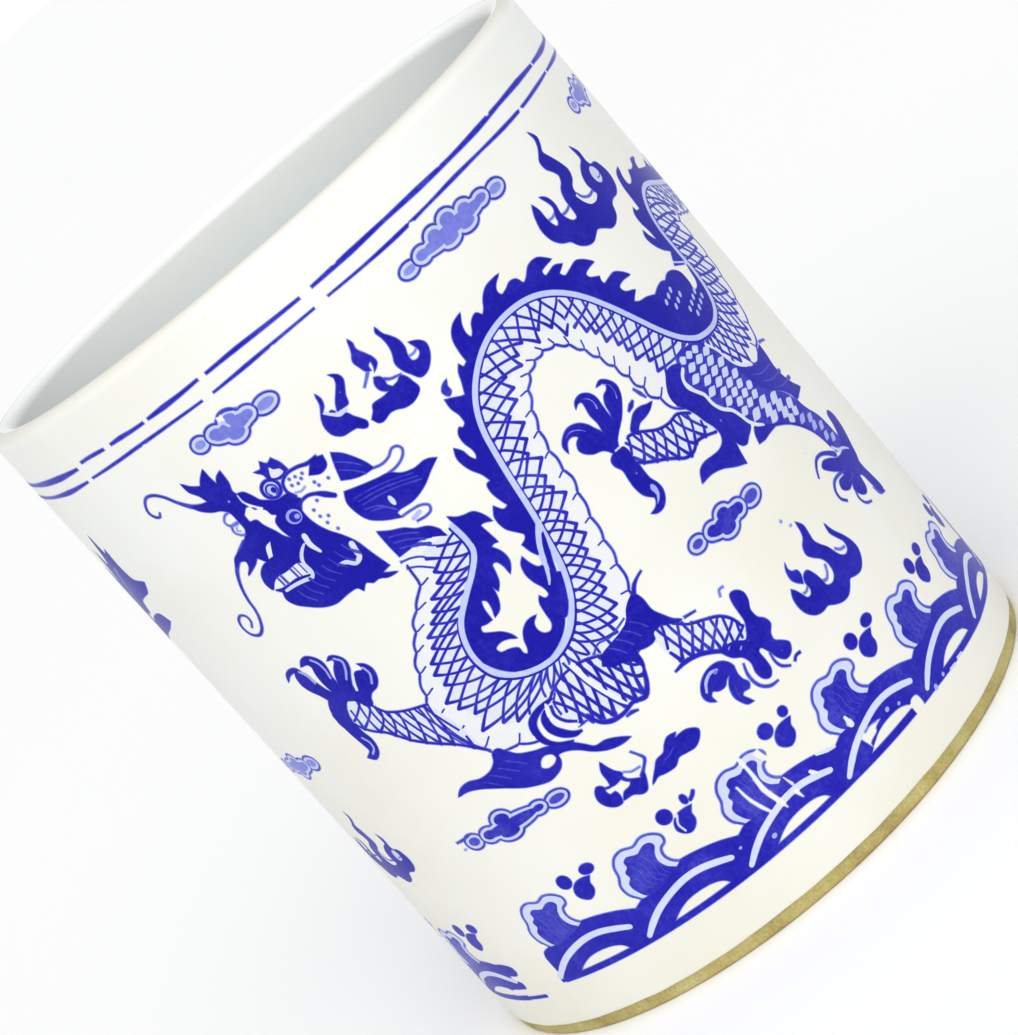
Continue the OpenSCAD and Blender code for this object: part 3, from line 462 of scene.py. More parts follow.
def draw_hair(art):
    """Locks and horns behind the head, cut off on the left where the paper print creased."""
    art.area([(-12.6, 92.9, C), (-13.3, 91.3), (-14, 89.2, C), (-12.6, 88.4), (-11, 87.9),
              (-9.6, 87.8, C), (-9.9, 88.9), (-10.7, 90.6), (-11.6, 92)], 0.95)
    art.line([(-9.8, 87.8), (-8.3, 87.4), (-7, 87.6), (-6, 88.2), (-5.2, 88), (-4.9, 87.3), (-5.5, 86.5),
              (-7, 85.9), (-8.8, 85.9)], 0.36, 0.62)
    art.area([(-14.8, 87.6, C), (-15.5, 86.2), (-15.3, 84), (-14.7, 82.6), (-13.2, 81.3), (-11.1, 80.1, C),
              (-11.3, 80.9), (-10.7, 81.1), (-8.5, 80.9), (-6, 81.5), (-3.9, 82.6), (-2.3, 83.3, C),
              (-3.5, 84), (-5.5, 84.1), (-7.3, 84.8), (-8.4, 85.8), (-10, 86.2), (-12.2, 86.8)], 0.96)
    streaks(art, [(-14.4, 86.1), (-11.6, 85.7), (-9, 85), (-6, 83.8)], (0.2, -0.7), 3)
    streaks(art, [(-14.2, 84), (-12.4, 83.2), (-11.4, 82)], (0.5, -0.7), 2)
    streaks(art, [(-13, 91.6), (-11.8, 90.6), (-10.6, 89.2)], (-0.3, -1.2), 2)
    art.spot(-10.6, 82.7, 0.35, 0.8, 0.1)
    art.line([(-11, 80.1), (-9.5, 80), (-8, 79.7), (-7.2, 79), (-7.5, 78.3), (-8.5, 78.1), (-9.8, 78.3)],
             0.36, 0.66)
    art.line([(-10, 78.9), (-8.8, 79.1)], 0.3, 0.2)
    art.area([(-15.1, 80.5, C), (-15.1, 78), (-15, 76, C), (-13.3, 76), (-11.5, 76.1), (-10.2, 75.6),
              (-9, 74.9), (-8.1, 74.2, C), (-8.4, 75.6), (-9.3, 76.8), (-10.8, 77.6), (-12, 78.7),
              (-13.6, 79.5)], 0.95)
    streaks(art, [(-14.4, 79), (-12.6, 78.2), (-10.8, 77)], (0.1, -1.1), 3)
    # folds of the throat
    art.line([(-15.4, 75.2), (-13.9, 74.8), (-12.6, 74), (-12, 73)], 0.4, 0.7)
    art.line([(-15.3, 74), (-14, 73.3), (-13, 72.4), (-12.4, 71.8)], 0.4, 0.7)
    art.line([(-11, 74.8), (-9.8, 73.8), (-8.6, 73.2)], 0.35, 0.7)


def finger(art, outline, highlight, ink=0.96):
    art.area(outline, ink)
    art.line(highlight, 0.4, 0.28)


def draw_left_leg(art):
    arm = Ribbon([(-26.9, 56.7, -24.6, 46.6), (-28.6, 57.1, -27.5, 49.4), (-31, 57.8, -30.5, 51.4),
                  (-33.3, 59, -33.3, 53.6), (-34.3, 60.6, -35.6, 56.1), (-35.4, 62.2, -38.2, 57.8),
                  (-37.4, 63.2, -39.4, 59.6)])
    art.area(arm.edge(0) + arm.edge(1)[::-1], 0.0)
    scale_net(art, arm, 0.2, arm.length, 0.0, 1.0, 1.85, 1.2, 0.52, 0.8)
    for share in (0, 1):
        art.line(arm.edge(share), 0.45, 0.88)
    art.line([(-27.6, 56.8), (-28, 54), (-27.6, 51.4), (-26.6, 48.6)], 0.4, 0.75)
    art.line([(-26.9, 56.8), (-27.2, 54.2), (-26.8, 51.2), (-25.6, 48.2), (-24.2, 46.2)], 0.4, 0.8)
    art.area([(-41.5, 62.6), (-40.2, 64.4), (-38.4, 65.3), (-36, 65.2), (-34.6, 64.4), (-33.7, 63),
              (-33.6, 61.8), (-34.2, 60.8), (-35.2, 61), (-35.8, 62.2), (-37, 63.1), (-38.2, 62.5),
              (-39.1, 61.2), (-39.6, 59.6), (-40.6, 58.6), (-41.8, 60)], 0.94)
    finger(art, [(-40.1, 64.3, C), (-40.9, 65.7), (-41.9, 67), (-42.4, 68.3), (-42.2, 69.6),
                 (-41.7, 70.4), (-43, 70.3), (-44.3, 69.5, C), (-43.5, 70.6), (-42.3, 71.1), (-41, 70.9),
                 (-40.5, 70.1), (-39.9, 68.8), (-39.6, 67.4), (-39.1, 66), (-38.5, 65)],
           [(-40.9, 70.2), (-40.2, 69.2), (-39.9, 67.6)])
    finger(art, [(-38.3, 65, C), (-38.6, 67), (-38.5, 68.6), (-38.1, 70), (-38.5, 70.6),
                 (-39.8, 70.7, C), (-38.9, 71.5), (-37.8, 71.7), (-36.6, 71), (-35.9, 69.8), (-36, 68.6),
                 (-36.4, 67.4), (-36.5, 65.6), (-36.8, 64.6)],
           [(-37.4, 70.9), (-36.7, 70), (-36.5, 68.6), (-36.8, 67.2)])
    finger(art, [(-36.6, 64.4), (-36, 66.6), (-35, 68.1), (-34.1, 68.9), (-34.1, 69.4),
                 (-35, 69.6, C), (-34.1, 70), (-33.1, 69.5), (-32.4, 68.4), (-32.7, 67.2), (-33.7, 66),
                 (-34.5, 64.9), (-35.2, 63.8)],
           [(-33.8, 69.4), (-33, 68.5), (-33.5, 67.2), (-34.6, 65.9)])
    finger(art, [(-35, 63.2), (-34.2, 64.2), (-33.5, 65.3), (-32.4, 66.1), (-31.3, 65.8),
                 (-30.9, 66.2), (-31.3, 67, C), (-30.3, 66.4), (-29.8, 65.3), (-30.2, 63.9),
                 (-31.3, 62.8), (-32.8, 62.4), (-34, 61.6)],
           [(-30.9, 66.1), (-30.7, 64.9), (-31.6, 63.5)])
    art.line([(-34.5, 63.8), (-33.9, 65), (-33, 66.2)], [0.5, 0.5, 0.4], 0.08)
    finger(art, [(-41.7, 62.2), (-41.7, 60), (-41.4, 57.8), (-41, 56), (-40.9, 54.9), (-41.5, 54.5),
                 (-42.3, 54.1, C), (-41.2, 53.4), (-40, 53.9), (-39.2, 54.9), (-38.9, 56.4),
                 (-39.3, 57.9), (-39.6, 60)],
           [(-40.3, 57.2), (-39.7, 56.1), (-39.9, 55), (-40.9, 54.3)])


def draw_low_thigh(art):
    art.area([(-17.6, 45), (-16.8, 47), (-14, 47.5), (-11, 48.4), (-7, 49), (-3.6, 48.6), (-2.2, 47),
              (0, 44.5), (-0.8, 41), (-2.2, 39.2), (-5, 39.5), (-7.6, 39.3), (-9.4, 41), (-10.5, 42.4),
              (-12.6, 41.2), (-14.8, 40.8), (-17, 42.2)], 0.0)
    thigh = Ribbon([(-12.6, 47.2, -11.8, 42.3), (-9.9, 48.6, -10, 41), (-7.3, 48.9, -7.6, 39.7),
                    (-5.2, 48.5, -4.8, 39.5), (-3.2, 47.6, -2.4, 39.3), (-1.4, 46, -1, 41),
                    (0, 45, 0.4, 42.6)])
    scale_net(art, thigh, 0, thigh.length, 0.0, 0.98, 1.55, 1.6, 0.62, 0.85)
    art.line(thigh.edge(0, 0, 9), 0.5, 0.85)
    art.line([(-7, 49), (-6.7, 46), (-5.9, 43), (-5.2, 41), (-4.7, 39.9)], [0.9, 0.75, 0.65, 0.6, 0.3],
             0.05)
    art.line([(-9.9, 42.4), (-9.4, 40.6), (-8, 39.5), (-6, 39.2), (-4, 39.6), (-2.2, 39.1), (-1, 40.2),
              (-0.2, 41.6), (0.3, 42.6)], [0.4, 0.6, 0.8, 0.6, 0.6, 0.8, 0.7, 0.6, 0.4], 0.9)
    art.line([(-5.9, 38.6), (-5, 38.6), (-4.2, 38.3)], [0.4, 0.6, 0.35], 0.8)


def draw_shoulder(art):
    """Curls where the low thigh meets the body."""
    art.line([(-12.2, 47.2), (-14.6, 47), (-16.6, 46), (-17.2, 44.2), (-16.9, 42.6), (-15.8, 41.4),
              (-13.9, 40.5)], [0.5, 0.9, 1.2, 1.1, 0.9, 0.6, 0.4], 0.95)
    art.line([(-13.6, 46.6), (-14.9, 45.4), (-15.1, 43.8), (-14.3, 42.3), (-13, 41.2), (-12, 41)],
             [0.5, 1.1, 1.3, 1.3, 0.9, 0.4], 0.95)
    art.line([(-13.4, 47.1), (-14.1, 45.6), (-14, 44), (-13.1, 42.7), (-11.7, 41.9)],
             [0.3, 0.5, 0.6, 0.6, 0.4], 0.04)
    art.line([(-13, 46.4), (-13.4, 45), (-12.8, 43.5), (-11.6, 42.5)], 0.45, 0.9)
    art.line([(-11.3, 47.6), (-12.4, 46.4), (-12.6, 44.6)], 0.4, 0.8)


def draw_elbow(art):
    """Dark elbow with its flicks."""
    art.area([(-3.9, 46.3, C), (-2.9, 47.5), (-1.2, 47.9), (0.6, 48.2), (2.1, 48.6, C), (2.8, 49.1),
              (3.7, 50.2), (5, 51), (5.7, 51.1), (6.2, 49.8), (6.2, 47.6), (6.9, 46), (7.6, 44.7),
              (8.5, 43.8, C), (7.5, 43.8), (6.6, 44.6), (5.6, 45.3), (4.6, 44.8), (3.5, 44.2), (2, 44.4),
              (1, 44.8), (0.7, 43.2), (0.3, 42.2, C), (-0.3, 44), (-1.5, 44.8), (-2.8, 45.2)], 0.97)
    streaks(art, [(-1.6, 47.6), (-0.8, 46.6), (-0.2, 45.4)], (1.5, 0.3), 4)
    art.line([(-3.8, 48.3), (-2.4, 49.1), (-0.6, 48.7), (1, 49), (2.6, 49.4)], 0.42, 0.66)
    art.line([(5.7, 50.9), (6.6, 51.9), (7.6, 52.4), (8.6, 52.7)], [0.7, 0.6, 0.4, 0.25], 0.8)
    art.line([(9, 43.7), (10.7, 43.3)], [0.45, 0.3], 0.8)


def draw_low_shin(art):
    shin = Ribbon([(2.8, 44.4, 3.6, 41.6), (5, 45.2, 4.6, 39.4), (7.6, 43.9, 6.6, 38.7),
                   (9.8, 42, 8.6, 37.7), (12, 40.9, 9.8, 36.6), (13.6, 39.3, 10.6, 35.3),
                   (14.5, 36.8, 12.2, 34)])
    art.area(shin.edge(0, 3)[:-1] + shin.edge(1, 3)[::-1], 0.0)
    scale_net(art, shin, 1.2, shin.length, 0.0, 1.0, 1.75, 1.3, 0.58, 0.82)
    art.line([(7.2, 44.2), (8.8, 42.6), (11, 41.4), (12.8, 40.3), (13.9, 38.8), (14.4, 37)], 0.5, 0.88)
    art.line([(3.2, 38.9), (5, 39), (7, 38.5), (8.8, 37.4), (10, 36.4)], [0.35, 0.7, 0.75, 0.65, 0.6],
             0.9)


def draw_low_foot(art):
    art.area([(9.8, 36.6), (10.4, 34.9), (11.6, 33.8), (12, 32.4), (11.6, 30.8), (11.9, 29.5),
              (12.7, 29), (13.5, 29.7), (13.7, 31.2), (13.8, 32.8), (14.4, 33), (15, 31.8), (15.4, 30.3),
              (16.2, 29.2), (17.3, 29.3), (18.1, 30.4), (17.4, 31.4), (16.6, 32.3), (16.9, 33.4),
              (17.8, 34.3), (17.6, 35.4), (16.9, 36.3), (16.8, 37.8), (17.5, 39), (17.7, 40.2),
              (17, 41.2), (16.1, 41.4), (15.6, 40.4), (15.4, 38.8), (15.2, 37.2), (14.6, 36.2),
              (13.6, 35.2), (12.2, 36.2), (11, 36.6)], 0.94)
    for u, z, half in ((12.2, 34.9, 0.55), (10.9, 36.1, 0.5), (13.7, 34.9, 0.35), (16.5, 30.4, 0.3)):
        art.spot(u, z, half, half * 0.6, 0.35, 0.5)
    art.line([(14.9, 33.6), (14.3, 34.6), (14.4, 36)], 0.3, 0.5)
    art.area([(9.7, 33.6), (9.3, 35), (8.3, 35.8), (6.8, 36), (5.4, 35.6), (4.3, 34.7), (3.7, 33.5),
              (3.9, 32.6), (4.7, 31.8, C), (4.6, 32.8), (5.2, 33.3), (6, 32.7), (7, 32.6), (7.8, 33.2),
              (8.8, 33.4)], 0.88)
    art.line([(4.5, 33.7), (5.3, 34.8), (6.6, 35.4), (7.6, 35.1)], [0.35, 0.5, 0.5, 0.4], 0.2)
    art.spot(7.2, 34.9, 0.5, 0.4, 0.45)
    art.area([(8, 32.8), (7.3, 31.8), (7, 30.5), (7.3, 29.4), (7.8, 28.5), (8.7, 28.2, C), (8.3, 29),
              (8, 29.9), (8.6, 30.2), (9.4, 30), (9.9, 30.6), (9.5, 31.5), (9.4, 32.6), (9.6, 33.6),
              (8.6, 33.3)], 0.85)
    art.line([(7.6, 29.6), (7.7, 30.7), (8.2, 31.9)], 0.36, 0.3)
    art.line([(11, 33), (10.5, 31.6), (10.5, 30), (11, 28.8), (12, 28), (13.2, 27.8)],
             [0.3, 0.45, 0.5, 0.5, 0.5, 0.3], 0.75)
    art.line([(14.9, 31.4), (14.7, 30), (15, 28.9), (16, 28)], [0.3, 0.4, 0.45, 0.35], 0.75)
    art.line([(17, 28), (17.6, 28.4), (18.4, 28.3)], 0.45, 0.85)
    art.line([(14.8, 42.2), (15.3, 43), (16, 42.9)], 0.4, 0.5)


def draw_tufts(art):
    art.area([(-33.7, 42.7, C), (-32.4, 43.6), (-30.6, 43.9), (-28.6, 43.4), (-26.5, 43.6),
              (-25, 44.5), (-24.2, 45.7), (-23.2, 45.8), (-22.4, 44.8), (-21.4, 43.6), (-19.8, 42.8),
              (-19, 42.5), (-17.6, 42.1), (-16, 41.5), (-14, 40.2), (-13, 39.1), (-12, 38),
              (-10.4, 37.8), (-8.8, 37), (-7.4, 36, C), (-9, 36), (-11, 36.6), (-12.8, 37.8),
              (-14, 39), (-15.6, 40), (-16.9, 40.2), (-17.1, 39.4), (-17.8, 38.5), (-19, 38),
              (-20.4, 37.8), (-22, 38.2), (-24, 39), (-27, 40.8), (-30, 42.3), (-32, 42.8)], 0.9)
    art.area([(-20.1, 40), (-19.4, 41), (-18.5, 41.3), (-17.4, 40.8), (-17.3, 39.9), (-18.2, 39.3),
              (-19.4, 39.3)], 0.0)
    streaks(art, [(-28.6, 42.8), (-27.4, 41.8), (-26.4, 40.8)], (1.7, 0.3), 4)


def draw_far_shin(art):
    shin = Ribbon([(18.2, 67.2, 18.4, 63.8), (20.4, 67.2, 20, 62.5), (22.2, 66.1, 21.8, 61.4),
                   (24, 64.9, 23.6, 60), (26, 64.3, 25.4, 58.9), (28, 64.3, 28, 59.6),
                   (29.8, 63, 31.2, 58.4)])
    art.area(shin.edge(0) + shin.edge(1)[::-1], 0.0)
    scale_net(art, shin, 0, shin.length, 0.0, 1.0, 1.85, 1.3, 0.58, 0.82)
    for share in (0, 1):
        art.line(shin.edge(share), 0.48, 0.9)
    art.area([(20.7, 67.5), (21.6, 68.3), (22.9, 69), (24.2, 68.9), (25.3, 68.4), (26.1, 68.2, C),
              (25, 67.7), (23.8, 67.5), (22.6, 67.5), (21.8, 67.1), (21.2, 66.4), (20.9, 67)], 0.95)
    art.line([(22.4, 69.7), (23.2, 70), (23.9, 70.3)], [0.4, 0.8, 0.4], 0.8)
    art.line([(25.2, 71.3), (25.6, 70.2), (25.9, 69.3)], [0.4, 0.6, 0.3], 0.7)


def draw_far_foot(art):
    art.area([(16.3, 67.8), (15.6, 68.6), (14.4, 69.1), (13.5, 69.9), (13.1, 70.8), (13.5, 71.7),
              (14.3, 72.2), (13.7, 72.9), (12.7, 72.9), (12, 72.2), (11.7, 71.6, C), (11.7, 72.7),
              (12.5, 73.6), (13.8, 74.1), (15.2, 73.7), (16.2, 72.7), (16.8, 71.4), (17.4, 70.2, C),
              (17.7, 71.5), (17.6, 73.3), (17.9, 74.7), (17.9, 75.4), (17.2, 75.6), (16.6, 75.2, C),
              (17.2, 76), (18.3, 76.2), (19.4, 75.5), (19.9, 74.4), (19.8, 73), (19.7, 71.8),
              (19.7, 70.4, C), (20.1, 71.5), (20.4, 72.8), (21.1, 73.7), (22, 74), (22.4, 74.6),
              (21.8, 75.2), (21, 75.3, C), (22, 75.6), (22.9, 74.9), (23.5, 73.6), (23.1, 72.2),
              (22.1, 71), (20.9, 69.9), (19.3, 68.9), (18.2, 68.1), (17.5, 67.2), (16.6, 67.2)], 0.97)
    art.line([(12.7, 73.3), (13.8, 73.5), (15, 72.8), (15.6, 72)], [0.35, 0.5, 0.5, 0.4], 0.3)
    art.line([(18, 75.7), (18.9, 75), (19.2, 74), (19, 73.2)], [0.35, 0.5, 0.5, 0.6], 0.3)
    art.line([(21.9, 75.2), (22.7, 74.2), (22.7, 73), (22.3, 72.2)], [0.3, 0.45, 0.45, 0.6], 0.35)
    art.area([(16.6, 67.1), (15.6, 66.6), (15.5, 65.8), (16, 64.6), (15.8, 63), (15.7, 61.6), (16, 60),
              (16.6, 59.2), (17, 58.7), (16.6, 57.9), (15.9, 57.5), (15.1, 57.4, C), (15.9, 56.9),
              (17, 56.9), (18, 57.6), (18.6, 58.7), (18.6, 59.8), (18.2, 61), (18.2, 62.5),
              (18.3, 63.6), (18.3, 64.8), (18.5, 66), (18.2, 66.9), (17.3, 66.9)], 0.97)
    art.area([(17.2, 60), (17.8, 60.5), (18.2, 59.8), (18, 58.7), (17.2, 57.9), (16.5, 57.7),
              (17.3, 58.8)], 0.25)
    art.spot(17.2, 62.9, 0.35, 0.35, 0.5)
    art.line([(17, 67.2), (18.6, 67.2), (20.6, 68.2)], [0.3, 0.35, 0.3], 0.0)


def draw_right_limb(art):
    limb = Ribbon([(34.6, 69.6, 39.6, 68.6), (33, 67, 41.4, 66.6), (33.6, 64, 42.4, 64),
                   (34.4, 61.4, 43, 61.8), (36, 58.8, 43.6, 59.2), (37, 56.2, 44.8, 56.6),
                   (38.8, 53.8, 46.8, 54.6), (41.4, 52, 48.8, 52.4), (44, 50.2, 49.6, 50.4),
                   (46.2, 48.2, 50.4, 48.4), (47.8, 45.6, 51.6, 46.2), (48.5, 43, 52.2, 43.6),
                   (49, 41.4, 52.4, 41.4)])
    art.area(limb.edge(0) + limb.edge(1)[::-1], 0.78)
    lozenges(art, limb, 0.8, 13.4, 0.04, 0.97, 3, 1.5)
    lozenges(art, limb, 14.8, 22.8, 0.05, 0.96, 2, 1.8)
    lozenges(art, limb, 24, limb.length - 1, 0.08, 0.96, 1, 1.3, 0.25)


def draw_flap(art):
    """Skin flap behind the right thigh."""
    art.area([(43, 61.8), (44.6, 60.4), (46.4, 59.4), (48, 59.2), (49.8, 59.8), (51.7, 60.2, C),
              (51.4, 58.4), (50.9, 56.6), (51.1, 54.8), (52, 52.8), (53.3, 51.3, C), (51.6, 51.1),
              (50, 51), (49.4, 52.2), (48, 53.8), (46, 55.2), (44.4, 57), (43.4, 59)], 0.92)
    streaks(art, [(44.8, 58.8), (47, 57.8), (50.4, 57.4)], (1.1, -1.9), 3)
    art.line([(52.3, 60.4), (53.2, 60.2), (54.3, 59.8)], [0.5, 0.4, 0.25], 0.6)


def draw_thigh_front(art):
    """Dark front of the right thigh and the tuft that streams from it."""
    art.area([(34.4, 68.6, C), (33, 69.3), (31.5, 69.4), (30, 68.3), (29, 66.8), (29, 65.2),
              (29.8, 63.9), (30.6, 62.2), (31, 60.6), (31.6, 59), (31.6, 57.6), (30.9, 56.7),
              (29.6, 56.3), (28, 56.5), (26.4, 56.8), (25, 56.5), (23.9, 55.1, C), (26, 55), (28, 54.3),
              (30, 53), (31.8, 52.1, C), (32.2, 53.8), (32.7, 55.3, C), (33.4, 54.1), (34.2, 53.8),
              (35.2, 54.2), (37, 55), (37, 56.4), (36, 58.8), (34.4, 60.6), (33.8, 63), (32.6, 64.6),
              (32.3, 66), (33, 67.6)], 0.94)
    art.area([(36.1, 52.3, C), (36.6, 53.5), (37.6, 54.3), (38.8, 53.6), (40.2, 52.7), (41.6, 51.8, C),
              (39, 52), (37.5, 52)], 0.94)
    art.spot(33.2, 58.9, 0.35, 0.35, 0.45)


def draw_right_seams(art):
    """Pale and dark lines along both edges of the right leg."""
    art.line([(34, 67.8), (32.9, 67), (32.5, 65.7), (33.2, 64.3), (34, 63), (34.1, 61.4), (34.8, 59.8),
              (36.2, 58.4), (36.8, 57), (37.2, 55.6), (38, 54.4), (39.1, 53.4)], 0.62, 0.08)
    art.line([(40.8, 67.4), (42, 65.4), (42.6, 63.4), (43.4, 61.8), (44.8, 60.6), (46.4, 59.8)],
             0.45, 0.08)
    art.line([(38, 53.7), (40, 52.5), (42, 51.5), (44, 50.2), (46, 48.3), (47.6, 46), (48.3, 44),
              (48.6, 42.4)], [0.5, 0.5, 0.5, 0.45, 0.45, 0.45, 0.4, 0.4], 0.9)
    art.line([(43.3, 61.2), (43.9, 58.8), (46, 56), (48.3, 54), (49.6, 52), (49.7, 50.2), (50.4, 48.5),
              (51.6, 46.6), (52.1, 44.4), (52.2, 42.4)], 0.45, 0.85)


def draw_right_foot(art):
    """Foot with four toes and a spur."""
    art.area([(48, 40.8), (50.4, 40.6), (52, 41.4), (53, 42.4), (54, 43.9), (54.5, 45.1), (55.6, 45.3),
              (56.3, 44.3), (56, 42.5), (55, 40.8), (53.9, 39.3), (53.2, 38.2), (52.4, 37.4),
              (52.3, 36.2), (52.7, 34.2), (52.9, 32), (52.1, 31.5), (51.2, 32.3), (50.8, 34),
              (50.4, 36), (49.7, 36.4), (48.9, 34.7), (47.9, 34.2), (46.6, 34.8), (45.9, 36.2),
              (46.8, 37), (45, 36.9), (43.6, 37.9), (44.2, 38.8), (46.4, 38.7), (45.9, 39.6),
              (44.4, 40.8), (43.2, 42.2), (44.2, 42.6), (45.7, 42.1)], 0.93)
    art.line([(48, 41.5), (46.5, 42.7), (45, 43.5), (43.4, 43.7), (42, 43), (41, 41.9)],
             [1.0, 0.7, 0.55, 0.5, 0.45, 0.3], 0.8)
    art.line([(47, 39), (45, 39.5), (43.2, 39.5), (42, 38.6), (41.8, 37.3), (42.7, 36.3)],
             [0.6, 0.5, 0.5, 0.5, 0.5, 0.45], 0.75)
    art.line([(46, 36), (45.4, 34.8), (46, 33.5), (47.5, 32.8)], [0.5, 0.45, 0.45, 0.3], 0.7)
    art.line([(50.5, 33.4), (51, 32), (52.8, 31.4)], [0.35, 0.4, 0.25], 0.7)
    art.line([(48.7, 42.4), (49.7, 41.3), (51.4, 40.6), (52.5, 39.8)], [0.5, 0.55, 0.5, 0.3], 0.15)
    art.line([(46, 37.5), (47.6, 37.3), (48.6, 37.6)], 0.4, 0.3)
    art.line([(50.2, 37.8), (49.9, 36.6)], 0.35, 0.35)


def draw_dragon(art):
    """The whole dragon, from the parts that lie lowest to those on top."""
    for fins in (draw_bend_fins, draw_neck_fins, draw_arch_fins, draw_hollow, draw_back_fins):
        fins(art)
    draw_backbone(art, draw_body(art))
    for part in (draw_tail, draw_hair,
                 draw_feelers, draw_skull, draw_snout, draw_mouth, draw_eyes, draw_brow, draw_bosses,
                 draw_left_leg, draw_tufts,
                 draw_low_thigh, draw_shoulder, draw_elbow, draw_low_shin, draw_low_foot,
                 draw_far_shin, draw_far_foot,
                 draw_right_limb, draw_flap, draw_thigh_front, draw_right_seams, draw_right_foot):
        part(art)


# ---- clouds: groups of lobes, each group with a line, a pale band and a wash ----

def cloud(art, groups, wash):
    for lobes in groups:
        inner = wash if len(lobes) > 2 else 0.8 * wash
        for inset, ink in ((0.04, 0.72), (0.42, 0.14), (0.84, inner)):
            for u, z, half_width, half_height in lobes:
                if half_height > inset + 0.15:
                    art.spot(u, z, half_width - inset, half_height - inset, ink)


# Each cloud is two end groups and a middle one, of lobes as (u, z, half width, half height). The last
# lobe of a middle group is a wide one that ties its wash together.
CLOUDS = [
    [[(-26.3, 104.6, 1.75, 1.5)], [(-14.9, 103.7, 2.3, 1.6), (-16.2, 103.9, 1.4, 1.1)],
     [(-23.4, 104.5, 1.95, 1.65), (-20.5, 105, 2.1, 1.75), (-20.8, 102.9, 2.2, 1.7),
      (-18, 104.1, 1.9, 1.6), (-20.7, 104, 4.3, 1.9)]],
    [[(11.6, 104.6, 1.9, 1.4)], [(29.3, 104.4, 2.1, 1.5)],
     [(14.3, 104.9, 1.9, 1.6), (17.3, 105.5, 2.0, 1.9), (20.3, 106, 2.1, 1.9), (23.3, 105.4, 2.0, 1.8),
      (26.3, 104.9, 2.0, 1.5), (19, 103.8, 2.2, 1.5), (22.4, 103.8, 2.2, 1.5), (20.3, 104.8, 7.4, 1.8)]],
    [[(17.3, 49.7, 1.8, 1.5)], [(28.6, 48.6, 2.3, 1.7)],
     [(20.3, 49.4, 1.9, 1.65), (23.2, 50, 2.0, 1.7), (22.6, 48, 2.2, 1.7), (25.6, 48.9, 1.9, 1.7),
      (23, 49, 4.2, 1.9)]],
    [[(-37.3, 35.6, 1.9, 1.6)], [(-21.4, 35.1, 2.2, 1.5)],
     [(-34.1, 35.5, 2.0, 1.65), (-30.6, 36.7, 2.2, 1.8), (-30.8, 34.5, 2.6, 1.7),
      (-27.6, 35.4, 1.9, 1.6), (-24.6, 35.4, 1.8, 1.4), (-30, 35.4, 6.0, 1.75)]],
    [[(56, 103.2, 1.9, 1.45)], [(67, 103.8, 2.3, 1.6)],
     [(59.3, 103.4, 2.0, 1.7), (62.3, 104.2, 2.1, 1.8), (62.2, 102.4, 2.2, 1.7), (65, 103.6, 1.9, 1.6),
      (62.2, 103.3, 4.4, 1.9)]],
    [[(89, 55.6, 1.9, 1.5)], [(101, 56.2, 2.3, 1.6)],
     [(92.3, 55.8, 2.0, 1.7), (95.2, 56.7, 2.1, 1.8), (95, 54.8, 2.2, 1.7), (98, 56, 1.9, 1.6),
      (95.1, 55.8, 4.4, 1.9)]]]


DARK_CLOUDS = (2, 3)


def draw_clouds(art):
    for i, groups in enumerate(CLOUDS):
        cloud(art, groups, 0.8 if i in DARK_CLOUDS else 0.45)
    art.area([(-22, 106.2), (-21.4, 105), (-20.9, 105), (-20.8, 106.2)], 0.0)
    art.line([(-20.8, 106.4), (-19.8, 106.2), (-18.6, 105.6)], 0.45, 0.7)
    art.line([(-21.4, 105.1), (-21, 104.3)], 0.4, 0.15)
    art.line([(-40.3, 36.5), (-38.6, 36.6), (-37, 36.9)], [0.4, 0.5, 0.4], 0.7)
    art.line([(-40.1, 35), (-39.6, 35.1)], 0.35, 0.35)


# ---- flames ----

TALL_FLAME_MIDDLE = (40, 95)


